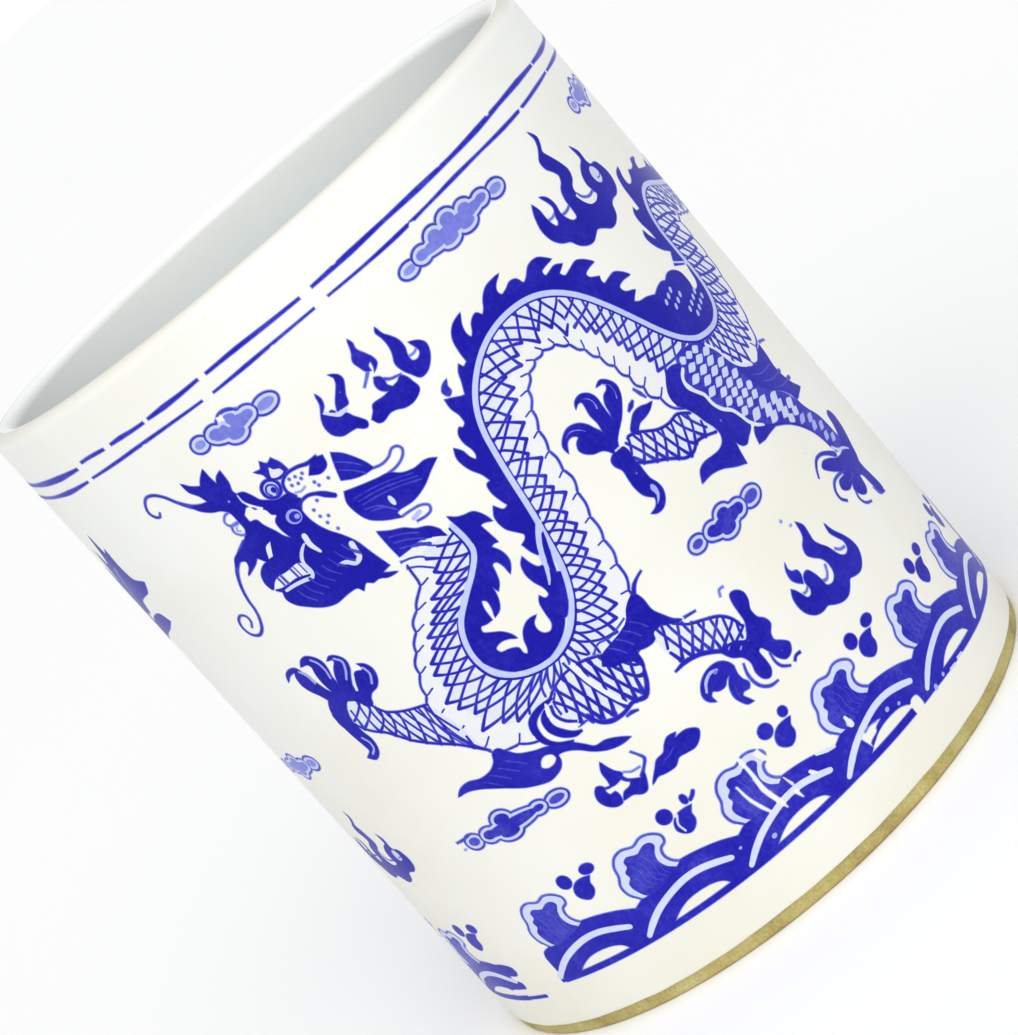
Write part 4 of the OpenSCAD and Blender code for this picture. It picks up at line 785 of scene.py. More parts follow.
def draw_tall_flame(art, u0, z0, scale=1.0):
    """Flame with three tongues, with its middle set at u0, z0."""
    mid_u, mid_z = TALL_FLAME_MIDDLE

    def put(points):
        return [(u0 + (p[0] - mid_u) * scale, z0 + (p[1] - mid_z) * scale) + tuple(p[2:])
                for p in points]
    art.area(put([
        (32.2, 99, C), (31.3, 97.6), (30.7, 95.6), (31, 93.8), (32, 92.5), (33.4, 91.7), (34.2, 90.5),
        (35.4, 89.6), (36.8, 89.3), (38, 89.7), (39, 90), (40.2, 89.4), (41.6, 88.5), (43, 88.5),
        (44.4, 89.2), (45.3, 90.5), (46.4, 90.9), (48, 90.9), (49.4, 91.8), (50, 93.4), (49.7, 94.9),
        (49, 96), (47.6, 96.3), (47.2, 97.2), (47.3, 98.8), (46.3, 100.3, C), (46.6, 99), (46.5, 97.8),
        (45.4, 97.3), (44.2, 96.3), (43.7, 95), (43.9, 93.5), (42.8, 92.5), (41.6, 93), (40.6, 94.3),
        (40.3, 95.6), (40.7, 96.6), (41.8, 97.3), (42.4, 98.4), (42, 99.8), (41.2, 101.4),
        (40.5, 102.9), (41.2, 103.8), (41.7, 104.8), (40.8, 106.2, C), (41.1, 104.9), (40.4, 103.6),
        (39.6, 102.9), (38.8, 102.2), (38.8, 101), (39.6, 100), (40.1, 99), (39.6, 98.1), (38.4, 97.3),
        (37.8, 96), (37.7, 94.5), (37.4, 93.2), (36.4, 93.2), (35.6, 94.2), (35.3, 95.4), (35.6, 96.8),
        (35.2, 98.2), (34.2, 99, C), (34.8, 97.8), (35, 96.6), (34.3, 95.6), (34, 94.7), (33.3, 94.4),
        (32.8, 95.2), (32.6, 96.4), (32.6, 97.8)]))
    art.line(put([(32.8, 95.9), (33.7, 95.8), (34.6, 96)]), 0.35 * scale, 0.55)
    art.line(put([(35.2, 95), (36.6, 94.9), (37.8, 95.2)]), 0.4 * scale, 0.6)
    art.line(put([(40.4, 95.5), (41.1, 94.4), (42.3, 93.8), (43.8, 93.9)]), 0.4 * scale, 0.6)
    art.spot(*put([(47, 94.9)])[0], 1.05 * scale, 1.35 * scale, 0.12)
    art.line(put([(46.8, 94.4), (47.4, 94.3), (48, 94.6)]), 0.35 * scale, 0.5)
    art.line(put([(40.2, 95.2), (40.7, 94), (41.6, 93), (43, 92.8), (43.8, 93.2)]), 0.45 * scale, 0.06)


def draw_broken_flame(art):
    """Flame under the first cloud, torn into pieces when the print was laid on."""
    art.area([(-9, 100.4, C), (-8.8, 99.4), (-9.2, 98.4), (-9.8, 97.9), (-9.4, 97.4), (-8.7, 97.3),
              (-8.3, 96.5), (-7.4, 95.7), (-7, 94.8), (-6.5, 94), (-6.1, 93.1), (-6.5, 92.6),
              (-7, 92.8), (-7.6, 93.4), (-8.6, 93.6), (-9.8, 93.8), (-10.7, 94.7), (-10.9, 96),
              (-10.5, 97.2), (-9.8, 98.2), (-9.3, 99)], 0.96)
    art.line([(-9.8, 97.7), (-9, 96.9), (-8.2, 96.2), (-7.2, 96.2)], [0.3, 0.5, 0.6, 0.4], 0.12)
    art.area([(-8.1, 96.8, C), (-7.6, 97.7), (-6.6, 98.8), (-5.8, 99.7), (-5.5, 100.6), (-5.9, 101.3, C),
              (-4.9, 100.4), (-4.8, 99.6), (-5.4, 98.6), (-6, 97.7), (-6.4, 96.7), (-7.2, 96.7)], 0.95)
    art.spot(-6.2, 98.5, 0.3, 0.25, 0.5)
    art.area([(-5.3, 92.9, C), (-4.9, 92), (-4.3, 91.8), (-3, 92.1), (-2, 91.9), (-0.9, 91.3),
              (0.6, 91.2), (2.1, 92), (2, 93.2), (1.8, 94.2), (1.3, 94.9), (0.6, 94.5), (-0.4, 94.4),
              (-2, 94.2), (-4, 94.3), (-4.4, 93.7)], 0.96)
    art.area([(-1.5, 97, C), (-2, 96.2), (-1.9, 95.2), (-1.1, 94.4), (-0.4, 94.3), (-0.9, 95.2),
              (-0.7, 95.9), (-0.9, 96.6)], 0.9)
    art.line([(-0.6, 96), (0, 95.5), (0.9, 95.2), (1.5, 95)], [0.5, 0.4, 0.3, 0.3], 0.65)
    art.area([(-0.9, 103.2, C), (-1.5, 101.6), (-2.2, 100.5), (-2, 99.4), (-1.7, 98.4), (-1.2, 98.1, C),
              (-1.1, 98.8), (-0.4, 99.1), (-0.6, 98), (-0.9, 97.6, C), (0.1, 98.4), (0.1, 99.2),
              (-0.3, 100.2), (-0.9, 101.6), (-0.7, 102.4)], 0.92)
    art.line([(-1.7, 98.1), (-2.6, 97.4), (-3.3, 96.9)], [0.5, 0.4, 0.35], 0.6)
    art.area([(2.9, 102, C), (2.6, 101.4), (2.8, 100.4), (2.8, 99), (2.5, 97.8), (1.9, 96.6), (2.1, 95.2),
              (2.7, 94), (3.3, 93), (4.4, 93), (5.6, 93.8), (6.5, 95), (6.7, 96), (6.2, 96.8),
              (5.1, 97.5, C), (5.4, 96.6), (5.5, 95.6), (4.6, 95), (3.8, 95.3), (3.8, 96.4), (4.2, 97.4),
              (4.2, 98.6), (3.8, 99.6), (3.1, 100.8)], 0.97)
    art.line([(3.9, 96.1), (4.7, 96), (5.4, 96.3)], 0.32, 0.5)


def draw_low_flame(art):
    art.area([(-15.8, 33.1), (-16.6, 32.4), (-16.9, 31.2), (-16.4, 30), (-15.4, 29.2), (-14.4, 29.2),
              (-14.1, 30), (-14.2, 31), (-15, 31), (-15.3, 31.8), (-15.1, 32.6)], 0.94)
    art.line([(-15.4, 32.5), (-14.6, 32.1), (-13.6, 32.1)], 0.4, 0.8)
    art.area([(-13.1, 35.7, C), (-13.8, 34.4), (-13.9, 33), (-14, 32), (-12.8, 32), (-12, 32.3),
              (-11.7, 32.6), (-12.4, 33.6), (-12.8, 34.6)], 0.93)
    art.line([(-12.3, 32.4), (-11.8, 31.4), (-11.2, 30.9)], [0.7, 0.5, 0.5], 0.85)
    art.area([(-14, 29.3, C), (-13.2, 30.2), (-12, 30.4), (-11.3, 31), (-10, 30.4), (-9.3, 30.9),
              (-9.8, 29.6), (-10.6, 28.5), (-11.4, 28.5), (-12.4, 29.2), (-13.2, 29.3)], 0.93)
    art.line([(-9.8, 30.6), (-8.8, 31.4), (-7.9, 32.4), (-8.3, 33.4), (-8.8, 34.3)],
             [0.6, 0.4, 0.5, 0.35, 0.25], 0.75)
    art.line([(-11.4, 32.6), (-10.6, 32), (-9.2, 31.8)], 0.35, 0.45)
    art.area([(-9.4, 28.6, C), (-8.6, 29.4), (-7.7, 30.2), (-6.8, 31), (-5.4, 31.2), (-4.6, 32),
              (-3.6, 32.6), (-2.4, 32.4, C), (-3, 31.8), (-1.8, 31.8), (-0.8, 31.6), (0.3, 30.6),
              (-0.4, 29.6), (-1.6, 29), (-3, 29.2), (-4.2, 29.4), (-5.4, 28.7), (-7, 28.8),
              (-8.2, 29.1)], 0.95)
    art.line([(-6, 30.3), (-4.8, 30.5), (-3.9, 31)], 0.4, 0.3)
    art.line([(-3.2, 31.9), (-2.4, 32)], 0.3, 0.3)


def draw_mid_flame(art):
    art.area([(23.6, 35.2, C), (23, 34.2), (22.8, 32.6), (23.2, 31.2), (24.2, 30.1), (25.4, 29.7),
              (26.6, 29.7), (27.6, 29), (29, 28.3), (30.4, 28.2), (31.6, 28.8), (32.6, 29.5),
              (33.8, 29.1), (35.2, 28.9), (36.6, 29.6), (37.6, 31), (37.6, 32.4), (37, 34),
              (36.2, 35.4), (35.8, 36.4), (35.6, 37.4, C), (35.3, 36), (35.8, 34.8), (36.4, 33.4),
              (36, 32.3), (35, 32), (34.1, 32.6), (33.6, 33.6), (33.2, 34.8), (32.3, 36.2),
              (31.9, 37.2), (32.1, 38.4), (32.3, 39.8), (31.6, 41, C), (31.4, 39.8), (30.9, 38.7),
              (29.8, 37.9), (29.4, 36.8), (30, 35.8), (31, 34.7), (31.4, 33.4), (31, 31.8),
              (29.8, 31.1), (28.6, 31.6), (28.5, 32.8), (28.2, 34.2), (27.6, 35.3), (26.8, 35.2),
              (26.2, 34.4), (26.2, 33.2), (25.6, 32.5), (24.8, 32.6), (24.4, 33.6), (24, 34.6)], 0.92)
    art.area([(25.6, 38.5, C), (24.9, 37.4), (24.7, 36.2), (25.2, 35.2), (25.8, 34.6, C), (26.4, 35.6),
              (26.4, 36.4), (25.6, 36.9), (25.3, 37.6)], 0.85)
    art.line([(24.8, 33.5), (25.4, 33.4), (26.1, 33.8)], 0.4, 0.45)
    art.line([(28.7, 32.4), (29.4, 32.2), (30.2, 32.8), (30.7, 33.6)], [0.6, 0.45, 0.45, 0.5], 0.5)
    art.line([(34.1, 33.9), (34.8, 33.2), (35.8, 32.9)], 0.45, 0.5)
    art.spot(29.7, 42.8, 0.28, 0.28, 0.35)
    art.spot(30.6, 41.3, 0.3, 0.2, 0.35)


def draw_flames(art):
    draw_broken_flame(art)
    draw_tall_flame(art, *TALL_FLAME_MIDDLE)
    draw_low_flame(art)
    draw_mid_flame(art)
    draw_tall_flame(art, 96, 37.6, 0.8)


# ---- waves ----

WAVE_FROM, WAVE_TO = -44.0, 106.4
WAVE_PITCH = 18.45
WAVE_MIDDLES = [-33.2 + WAVE_PITCH * k for k in range(8)]


def sag(u):
    """The right half of the strip was laid on a little low."""
    part = min(max((u - 18) / 42, 0.0), 1.0)
    return -1.75 * part * part * (3 - 2 * part)


def lowered(points):
    return [(p[0], p[1] + sag(p[0])) + tuple(p[2:]) for p in points]


def shifted(middle, points):
    return lowered([(middle + p[0], p[1]) + tuple(p[2:]) for p in points])


def draw_swell(art, m, first, last):
    """Dark swell about m. The first one begins with a step, and the last one ends in two bands."""
    left = max(m - 9.6, WAVE_FROM)
    right = m + 6.5 if last else min(m + 9.4, WAVE_TO)
    start = [(left, 9.5, C), (left, 14.2, C), (-42.2, 15.2)] if first else [(left, 9.5, C), (left, 14.7, C)]
    art.area(lowered(start + [(m - 6.8, 15.9), (m - 4.6, 16.8), (m - 2, 17.4), (m + 1, 17.45),
                              (m + 4, 17), (min(m + 7, right - 0.2), 16.15), (right, 15.1, C),
                              (right, 9.5, C)]), 0.86)
    if last:
        art.line(lowered([(m + 4, 15.6), (m + 6.8, 15.5), (m + 8.4, 15.2)]), [2.4, 2.4, 2.1], 0.86)
        art.line(lowered([(m + 4, 12.6), (m + 7.6, 12.3)]), [1.7, 1.6], 0.86)


def draw_bows(art, m):
    """Pale bow across a swell, and the bare half moon under it."""
    bow = [(-10.2, 10.5), (-8.5, 11.8), (-6.3, 13.1), (-3.3, 14.2), (-0.3, 14.8), (2.3, 14.7),
           (4.8, 14), (6.8, 13.2)]
    bow = [p for p in bow if WAVE_FROM < m + p[0] < WAVE_TO]
    art.line(shifted(m, bow), [0.8] + [1.05] * (len(bow) - 2) + [0.9], 0.1)
    art.area(shifted(m, [(-5.7, 10.3, C), (-4.3, 11.2), (-2.2, 12), (0.4, 12.2), (2.6, 11.9),
                         (4, 11.2), (4.6, 10.3, C)]), 0.02)


def draw_wave_foot(art):
    """Line along the foot of the waves, with a bare gap over its right end."""
    end = WAVE_MIDDLES[-1]
    art.area(lowered([(end + 3.4, 11.5), (end + 6, 11.7), (end + 9, 11.4), (end + 9, 10.2, C),
                      (end + 3, 10.2, C)]), 0.0)
    foot = [(WAVE_FROM + 0.6, 9.85)] + [(u, 9.8) for u in range(-40, 107, 4)] + [(WAVE_TO + 1, 9.8)]
    art.line(lowered(foot), 0.62, 0.86)


def draw_waves(art):
    for m in WAVE_MIDDLES:
        draw_swell(art, m, m == WAVE_MIDDLES[0], m == WAVE_MIDDLES[-1])
    for m in WAVE_MIDDLES:
        draw_bows(art, m)
    draw_wave_foot(art)
    for m in WAVE_MIDDLES:
        if m + 1.4 <= WAVE_TO:
            draw_crest(art, m)
    draw_wave_faults(art)


def draw_crest(art, m):
    """Curling crest: pale edge, washed middle and five light streaks."""
    edge = [(-7.2, 15.8), (-8.3, 17.4), (-8.4, 19), (-7.6, 20.4), (-7.2, 21.9), (-6.2, 23.1),
            (-4.7, 23.5), (-2.9, 23), (-1.3, 23.5), (0.2, 23.1), (1.3, 22), (1.1, 21), (0.1, 20.5),
            (-0.3, 19.3), (0.1, 18.2), (0.9, 17.4)]
    art.area(shifted(m, edge), 0.11)
    art.area(shifted(m, [(-5.8, 15.6), (-7, 17.4), (-7.1, 18.6), (-6.3, 19.4), (-6.4, 20.3), (-5.6, 20.9),
                         (-5.5, 21.8), (-4.7, 22.2), (-3.9, 21.9), (-3, 21.7), (-2.4, 22), (-1.4, 22.3),
                         (-0.6, 22), (-0.4, 21.4), (-1.1, 20.5), (-1.5, 19.2), (-1, 17.8), (0, 16.8),
                         (-2, 16.2)]), 0.78)
    art.line(shifted(m, edge), [0.46] * 12 + [0.5] * 4, 0.62)
    for dx, top in ((-5.9, 19), (-4.9, 20.8), (-3.8, 21), (-2.7, 21.2), (-1.9, 20.2)):
        streak = [(dx - 0.2, top), (dx + 0.3, 0.5 * top + 9), (dx + 0.2, 17.6), (dx + 0.8, 16.6)]
        art.line(shifted(m, streak), 0.4, 0.5)


def draw_wave_faults(art):
    """Creases and tears of the thin print."""
    art.line([(1.7, 24.2), (1.8, 21), (1.7, 17.6), (2.2, 15.4), (2.6, 13.6)],
             [0.5, 0.6, 0.8, 0.8, 0.3], 0.0)
    art.line([(-1, 20.6), (-0.8, 18.4), (-0.2, 16.2), (0.3, 15)], [0.35, 0.5, 0.6, 0.5], 0.0)
    art.line([(4.9, 14.4), (5.2, 13.2)], [0.7, 0.3], 0.0)
    art.line([(4.8, 17.2), (5.2, 15.6)], [0.2, 0.5], 0.1)
    art.line([(8.2, 15.1), (8.8, 14.4)], [0.6, 0.4], 0.05)
    art.line([(10.4, 16.2), (12, 15.5), (13.2, 15.1)], [0.3, 0.5, 0.3], 0.08)
    art.area([(16.8, 12.9), (17.8, 13.5), (20.2, 13.4), (21.3, 12.9), (19.8, 12.4), (19.6, 12),
              (17.7, 11.4), (17.5, 10.6), (17, 12)], 0.02)
    art.line([(18, 13.3), (19.2, 13.5), (20.4, 13.2)], 0.3, 0.5)
    art.area([(26.3, 8.4), (26.2, 10.6), (26.8, 11.2), (28.3, 11), (28.2, 8.6)], 0.0)
    art.line([(4.7, 20.9), (4.2, 22.4)], [0.7, 0.9], 0.0)
    art.line([(1.6, 23.9), (1.7, 22.9)], 0.5, 0.0)
    for u, z, half in ((-1.4, 11.7, 0.42), (22.9, 13, 0.4), (17.1, 16, 0.6), (31.8, 9.2, 0.4),
                       (34.4, 9.3, 0.35), (-6.1, 13.5, 0.25), (25, 12.2, 0.3)):
        art.spot(u, z, half, half * 0.8, 0.25, 0.4)
    art.line([(17.1, 17), (17.2, 15.6)], [0.5, 1.0], 0.06)
    for u in (36.2, 38.8):
        art.line([(u, 8.75), (u + 1.5, 8.6)], 0.3, 0.1)


def draw_drops(art):
    """A group of three drops over every gap between crests. Two of the groups are misprinted."""
    for k, m in enumerate(WAVE_MIDDLES):
        if m + 9 > WAVE_TO + 2:
            continue
        low = sag(m + 5)
        art.spot(m + 3.4, 23.85 + low, 1.2, 1.2, 0.92)
        art.area(shifted(m, [(3.6, 21.2), (4, 22.3), (5, 23), (6.2, 23.1), (7.4, 22.9, C), (6.7, 22),
                             (6.6, 21), (6, 20.2), (5, 19.8), (4.1, 20.3)]), 0.9)
        if k == 1:
            art.spot(-7.6, 24.2, 0.55, 0.85, 0.9)
            art.line([(-6.9, 23.6), (-6.3, 23.9), (-5.9, 24.3)], 0.6, 0.85)
            art.line([(-10.3, 20.4), (-10.5, 21.8), (-9.8, 22.9)], 0.35, 0.1)
        elif k == 2:
            art.spot(m + 7.1, 24.2, 0.8, 0.85, 0.88)
            art.area([(5.4, 24.5), (6, 24.4), (6.2, 24), (5.5, 23.9)], 0.0)
        else:
            art.spot(m + 7.8, 24 + low, 1.25, 0.9, 0.9)


# ---- rim lines ----

def rim_pieces(height, width, breaks, left_drop):
    """Uneven line in pieces. Towards its far end it sinks by left_drop and thickens."""
    art = Drawing()
    for i, (begin, end) in enumerate(breaks):
        count = max(3, int((end - begin) / 6))
        points, widths = [], []
        for k in range(count + 1):
            u = begin + (end - begin) * k / count
            waver = 0.1 * math.sin(u * 0.21 + height) + 0.05 * math.sin(u * 0.83)
            drop = left_drop * min(max((u - 90) / 14, 0.0), 1.0)
            points.append((u, height + waver - drop))
            thicker = 0.32 * (drop > 0) * min(drop, 0.4) / 0.4
            widths.append(width * (1 + 0.22 * math.sin(u * 0.47 + i)) + thicker)
        widths[0] = widths[-1] = width * 0.7
        art.line(points, widths, 0.82)
    return art


def draw_upper_line():
    breaks = [(-46, -40), (-38.2, -31), (-29.9, -20), (-18.4, -2.1), (0.2, 53.2), (54, 109.2)]
    art = rim_pieces(111.75, 0.66, breaks, 0.5)
    for u in (4.4, 24.6, 36.8, 71, 88):
        art.spot(u, 112.1, 0.5, 0.22, 0.0)
    return art


def draw_lower_line():
    breaks = [(-46.4, -21.6), (-19.4, -1.5), (1.1, 55.6), (56.4, 109)]
    art = rim_pieces(109.25, 0.48, breaks, 0.3)
    for u in (-33.5, -9, 16, 43, 80):
        art.spot(u, 109, 0.6, 0.2, 0.0)
    return art


# ---- meshes of the print ----

COLUMN = 1.0        # widest facet of the print round the pot, mm
INKS = 101          # an ink is counted in hundredths, 0 to 100
FAINT = 3           # less ink than this is bare glaze
FILM, PILE = 0.010, 0.035       # height of bare film over the glaze and what full ink adds, mm


def height_of(ink):
    """Height of the colour film over the glaze, mm: darker stretches lie on top."""
    return FILM + PILE * ink


def triangles_of(shapes):
    """Cut the drawing along all its outlines and along upright lines that keep facets narrow."""
    corners = np.concatenate([outline for outline, ink in shapes])
    edges, first = [], 0
    for outline, ink in shapes:
        count = len(outline)
        edges += [(first + i, first + (i + 1) % count) for i in range(count)]
        first += count
    low, high = corners.min(axis=0) - 0.5, corners.max(axis=0) + 0.5
    uprights = np.arange(math.floor(low[0]), math.ceil(high[0]) + COLUMN, COLUMN)
    points = [Vector(p) for p in corners.tolist()]
    for u in uprights:
        edges.append((len(points), len(points) + 1))
        points += [Vector((u, low[1])), Vector((u, high[1]))]
    result = delaunay_2d_cdt(points, edges, [], 0, 1e-4, False)
    return np.array([tuple(p) for p in result[0]]), np.array(result[2])


def inks_of(points, faces, shapes):
    """Ink of each triangle, in hundredths: that of the last shape round its middle."""
    middles = points[faces].mean(axis=1)
    order = np.argsort(middles[:, 1], kind="stable")
    us, zs = middles[order, 0], middles[order, 1]
    inks = np.zeros(len(faces), int)
    for outline, ink in shapes:
        begin, end = np.searchsorted(zs, (outline[:, 1].min(), outline[:, 1].max()))
        turns = np.zeros(end - begin, int)
        for (u0, z0), (u1, z1) in zip(outline, np.roll(outline, -1, axis=0)):
            if z0 == z1:
                continue
            lo, hi = np.searchsorted(zs, (min(z0, z1), max(z0, z1)))
            cross = u0 + (zs[lo:hi] - z0) * (u1 - u0) / (z1 - z0)
            turns[lo - begin:hi - begin] += np.where(us[lo:hi] < cross, 1 if z1 > z0 else -1, 0)
        inks[order[begin:end][turns != 0]] = round(ink * 100)
    return inks


def ink_beyond(faces, inks, size):
    """For each side of each triangle: its two points, its own ink and the ink across it."""
    tails = faces.reshape(-1)
    heads = np.roll(faces, -1, axis=1).reshape(-1)
    own = np.repeat(inks, 3)
    codes = tails * size + heads
    order = np.argsort(codes)
    facing = heads * size + tails
    found = np.minimum(np.searchsorted(codes[order], facing), len(codes) - 1)
    match = order[found]
    return tails, heads, own, np.where(codes[match] == facing, own[match], 0)


def skirt_points(points, a, b, high, low):
    """Outer points of the skirts, along the mean outward direction of the two sides that meet there.

    Gives their places, their inks and, for the ends a and then the ends b, which one belongs to each."""
    run = points[b] - points[a]
    out = np.stack([run[:, 1], -run[:, 0]], 1)
    out /= np.maximum(np.linalg.norm(out, axis=1), 1e-9)[:, None]
    pair = high * INKS + low
    ends = np.concatenate([a * INKS ** 2 + pair, b * INKS ** 2 + pair])
    outer, place = np.unique(ends, return_inverse=True)
    way = np.zeros((len(outer), 2))
    np.add.at(way, place, np.concatenate([out, out]))
    uses = np.bincount(place)
    length = np.maximum(np.linalg.norm(way, axis=1), 1e-6)
    reach = np.clip(uses / length, 1.0, 1.5) / length
    ink = outer % INKS
    width = np.where(ink >= FAINT, 0.5 * BLEED, BLEED)
    return points[outer // INKS ** 2] + way * (reach * width)[:, None], ink, place


def film_of(art):
    """Print film: inked triangles, and a narrow soft skirt where ink meets less ink."""
    points, faces = triangles_of(art.shapes)
    inks = inks_of(points, faces, art.shapes)
    tails, heads, own, other = ink_beyond(faces, inks, len(points))
    rim = own - other > FAINT
    a, b, high, low = tails[rim], heads[rim], own[rim], other[rim]
    outer_uz, outer_ink, place = skirt_points(points, a, b, high, low)
    keep = inks >= FAINT
    core_keys = faces[keep] * INKS + inks[keep][:, None]
    a_keys, b_keys = a * INKS + high, b * INKS + high
    inner_keys = np.unique(np.concatenate([core_keys.reshape(-1), a_keys, b_keys]))
    core, inner_a, inner_b = (np.searchsorted(inner_keys, keys) for keys in (core_keys, a_keys, b_keys))
    outer_a, outer_b = np.split(place + len(inner_keys), 2)
    skirts = np.concatenate([np.stack([inner_b, inner_a, outer_a], 1),
                             np.stack([inner_b, outer_a, outer_b], 1)])
    uz = np.concatenate([points[inner_keys // INKS], outer_uz])
    ink = np.concatenate([inner_keys % INKS, outer_ink]) / 100.0
    return uz, ink, np.concatenate([core, skirts])


def wrapped(uz, height, turn):
    """Places on the pot of flat places, at a height over the glaze."""
    angle = uz[:, 0] / OUTER_R + turn
    r = OUTER_R + height
    return np.stack([r * np.sin(angle), -r * np.cos(angle), uz[:, 1]], 1)


def new_object(name, points_mm, faces, material, node):
    """Visible piece that stands for one CAD node."""
    mesh = bpy.data.meshes.new(name)
    mesh.from_pydata((np.asarray(points_mm) * MM).tolist(), [], [tuple(f) for f in faces])
    mesh.polygons.foreach_set("use_smooth", [True] * len(mesh.polygons))
    piece = bpy.data.objects.new(name, mesh)
    bpy.context.scene.collection.objects.link(piece)
    mesh.materials.append(material)
    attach(piece, "root")
    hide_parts(node)
    return piece


def print_piece(name, node, films, material):
    """One print piece from (film, turn) pairs, shaded as part of the round wall."""
    points, inks, faces, first = [], [], [], 0
    for (uz, ink, corners), turn in films:
        points.append(wrapped(uz, height_of(ink), turn))
        inks.append(ink)
        faces.append(corners + first)
        first += len(uz)
    points, inks, faces = np.concatenate(points), np.concatenate(inks), np.concatenate(faces)
    piece = new_object(name, points, faces.tolist(), material, node)
    piece.data.attributes.new("ink", "FLOAT", "POINT").data.foreach_set("value", inks)
    normals = points * (1, 1, 0)
    normals /= np.linalg.norm(normals, axis=1)[:, None]
    piece.data.normals_split_custom_set_from_vertices(normals.tolist())
    return piece


# ---- meshes of the body ----

def arc(mid_r, mid_z, radius, from_deg, to_deg, count):
    turns = np.radians(np.linspace(from_deg, to_deg, count + 1))
    return [(mid_r + radius * math.cos(t), mid_z + radius * math.sin(t)) for t in turns]


def up(r, from_z, to_z, step=6.0):
    count = max(1, math.ceil(abs(to_z - from_z) / step))
    return [(r, from_z + (to_z - from_z) * i / count) for i in range(count + 1)]


def revolve(name, node, material, profile, segments, sharp=(), shift=None):
    """Closed ring or disc from a profile of (r, z). sharp lists profile points with a hard edge."""
    clean = [profile[0]]
    for p in profile[1:]:
        if math.dist(p, clean[-1]) > 1e-4:
            clean.append(p)
    if math.dist(clean[0], clean[-1]) < 1e-4:
        clean.pop()
    rows, points = [], []
    for r, z in clean:
        if r < 1e-6:
            rows.append([len(points)] * segments)
            points.append((0.0, 0.0, z))
            continue
        rows.append(list(range(len(points), len(points) + segments)))
        for i in range(segments):
            angle = 2 * math.pi * i / segments
            dr, dz = shift(r, z, angle) if shift else (0.0, 0.0)
            points.append(((r + dr) * math.sin(angle), -(r + dr) * math.cos(angle), z + dz))
    faces = []
    for k, row in enumerate(rows):
        above = rows[(k + 1) % len(rows)]
        if row[0] == row[1] and above[0] == above[1]:
            continue
        for i in range(segments):
            j = (i + 1) % segments
            corner = [row[i], row[j], above[j], above[i]]
            faces.append(list(dict.fromkeys(corner)))
    piece = new_object(name, points, faces, material, node)
    hard = {i for i, p in enumerate(clean) if any(math.dist(p, s) < 1e-3 for s in sharp)}
    hard_points = {v for i in hard for v in rows[i]}
    row_of = {v: i for i, row in enumerate(rows) for v in row}
    flags = [row_of[e.vertices[0]] == row_of[e.vertices[1]] and e.vertices[0] in hard_points
             for e in piece.data.edges]
    piece.data.attributes.new("sharp_edge", "BOOLEAN", "EDGE").data.foreach_set("value", flags)
    return piece


def wander(angle, seed, size):
    """Small smooth unevenness round the pot."""
    total = 0.0
    for k, cycles in enumerate((2, 5, 11, 23, 47)):
        total += math.sin(cycles * angle + seed * 1.7 + k * 2.3) / (k + 1.5)
    return size * total


CREAM = 0.3         # glaze coat, mm
BODY_R = OUTER_R - CREAM
INNER_R = OUTER_R - WALL
BORE_R = INNER_R + CREAM
LIP_MID = OUTER_R - LIP_R
LIP_Z = HEIGHT - LIP_R
GLAZE_EDGE = 2.0    # where the outer coat ends over the bare foot
FLOOR_Z = 8.0       # inside floor, under its glaze
CORNER = 6.0        # hollow corner between floor and wall
FOOT_IN = 42.0      # inside radius of the foot ring
FOOT_TOP = 3.0      # underside of the floor
GRAINS = 40000      # different grains of grit in the bare foot
GRIT = 0.028        # their spread in size, mm


def build_outer_glaze(material):
    edge = [(BODY_R, GLAZE_EDGE + 0.12), (BODY_R + 0.1, GLAZE_EDGE), (BODY_R + 0.2, GLAZE_EDGE + 0.03),
            (BODY_R + 0.27, GLAZE_EDGE + 0.12), (OUTER_R, GLAZE_EDGE + 0.4)]
    profile = edge + up(OUTER_R, GLAZE_EDGE + 1.2, LIP_Z) + arc(LIP_MID, LIP_Z, LIP_R, 0, 90, 16)
    profile += arc(LIP_MID, LIP_Z, LIP_R - CREAM, 90, 0, 10) + up(BODY_R, LIP_Z, GLAZE_EDGE + 1.2, 20)

    def droop(r, z, angle):
        share = min(max((GLAZE_EDGE + 1.2 - z) / 0.8, 0.0), 1.0)
        return 0.0, share * (0.3 * math.cos(angle) + wander(angle, 3, 0.12))

    apex = [(LIP_MID, HEIGHT), (LIP_MID, HEIGHT - CREAM)]
    return revolve("outside_glaze", "outer_glaze", material, profile, 720, apex, droop)


def build_inner_glaze(material):
    corner_z, corner_r = FLOOR_Z + CORNER, BORE_R - CORNER
    face = arc(LIP_MID, LIP_Z, LIP_R, 90, 180, 16) + up(INNER_R, LIP_Z, corner_z)
    face += arc(corner_r, corner_z, CORNER - CREAM, 0, -90, 14)
    face += [(corner_r * (1 - k / 8), FLOOR_Z + CREAM) for k in range(1, 9)]
    back = [(0, FLOOR_Z), (corner_r, FLOOR_Z)] + arc(corner_r, corner_z, CORNER, -90, 0, 10)
    back += up(BORE_R, corner_z, LIP_Z, 20) + arc(LIP_MID, LIP_Z, LIP_R - CREAM, 180, 90, 10)
    apex = [(LIP_MID, HEIGHT), (LIP_MID, HEIGHT - CREAM)]
    return revolve("inside_glaze", "inner_glaze", material, face + back, 480, apex)


def build_base_glaze(material):
    under = FOOT_TOP - CREAM
    profile = [(r, under) for r in (0, 14, 28, 38, FOOT_IN - 1.2)]
    profile += [(FOOT_IN - 0.4, under - 0.05), (FOOT_IN, under - 0.3)]
    profile += [(FOOT_IN, FOOT_TOP), (20, FOOT_TOP), (0, FOOT_TOP)]
    return revolve("underside_glaze", "base_glaze", material, profile[::-1], 240,
                   [(FOOT_IN, FOOT_TOP), (FOOT_IN, under - 0.3)])


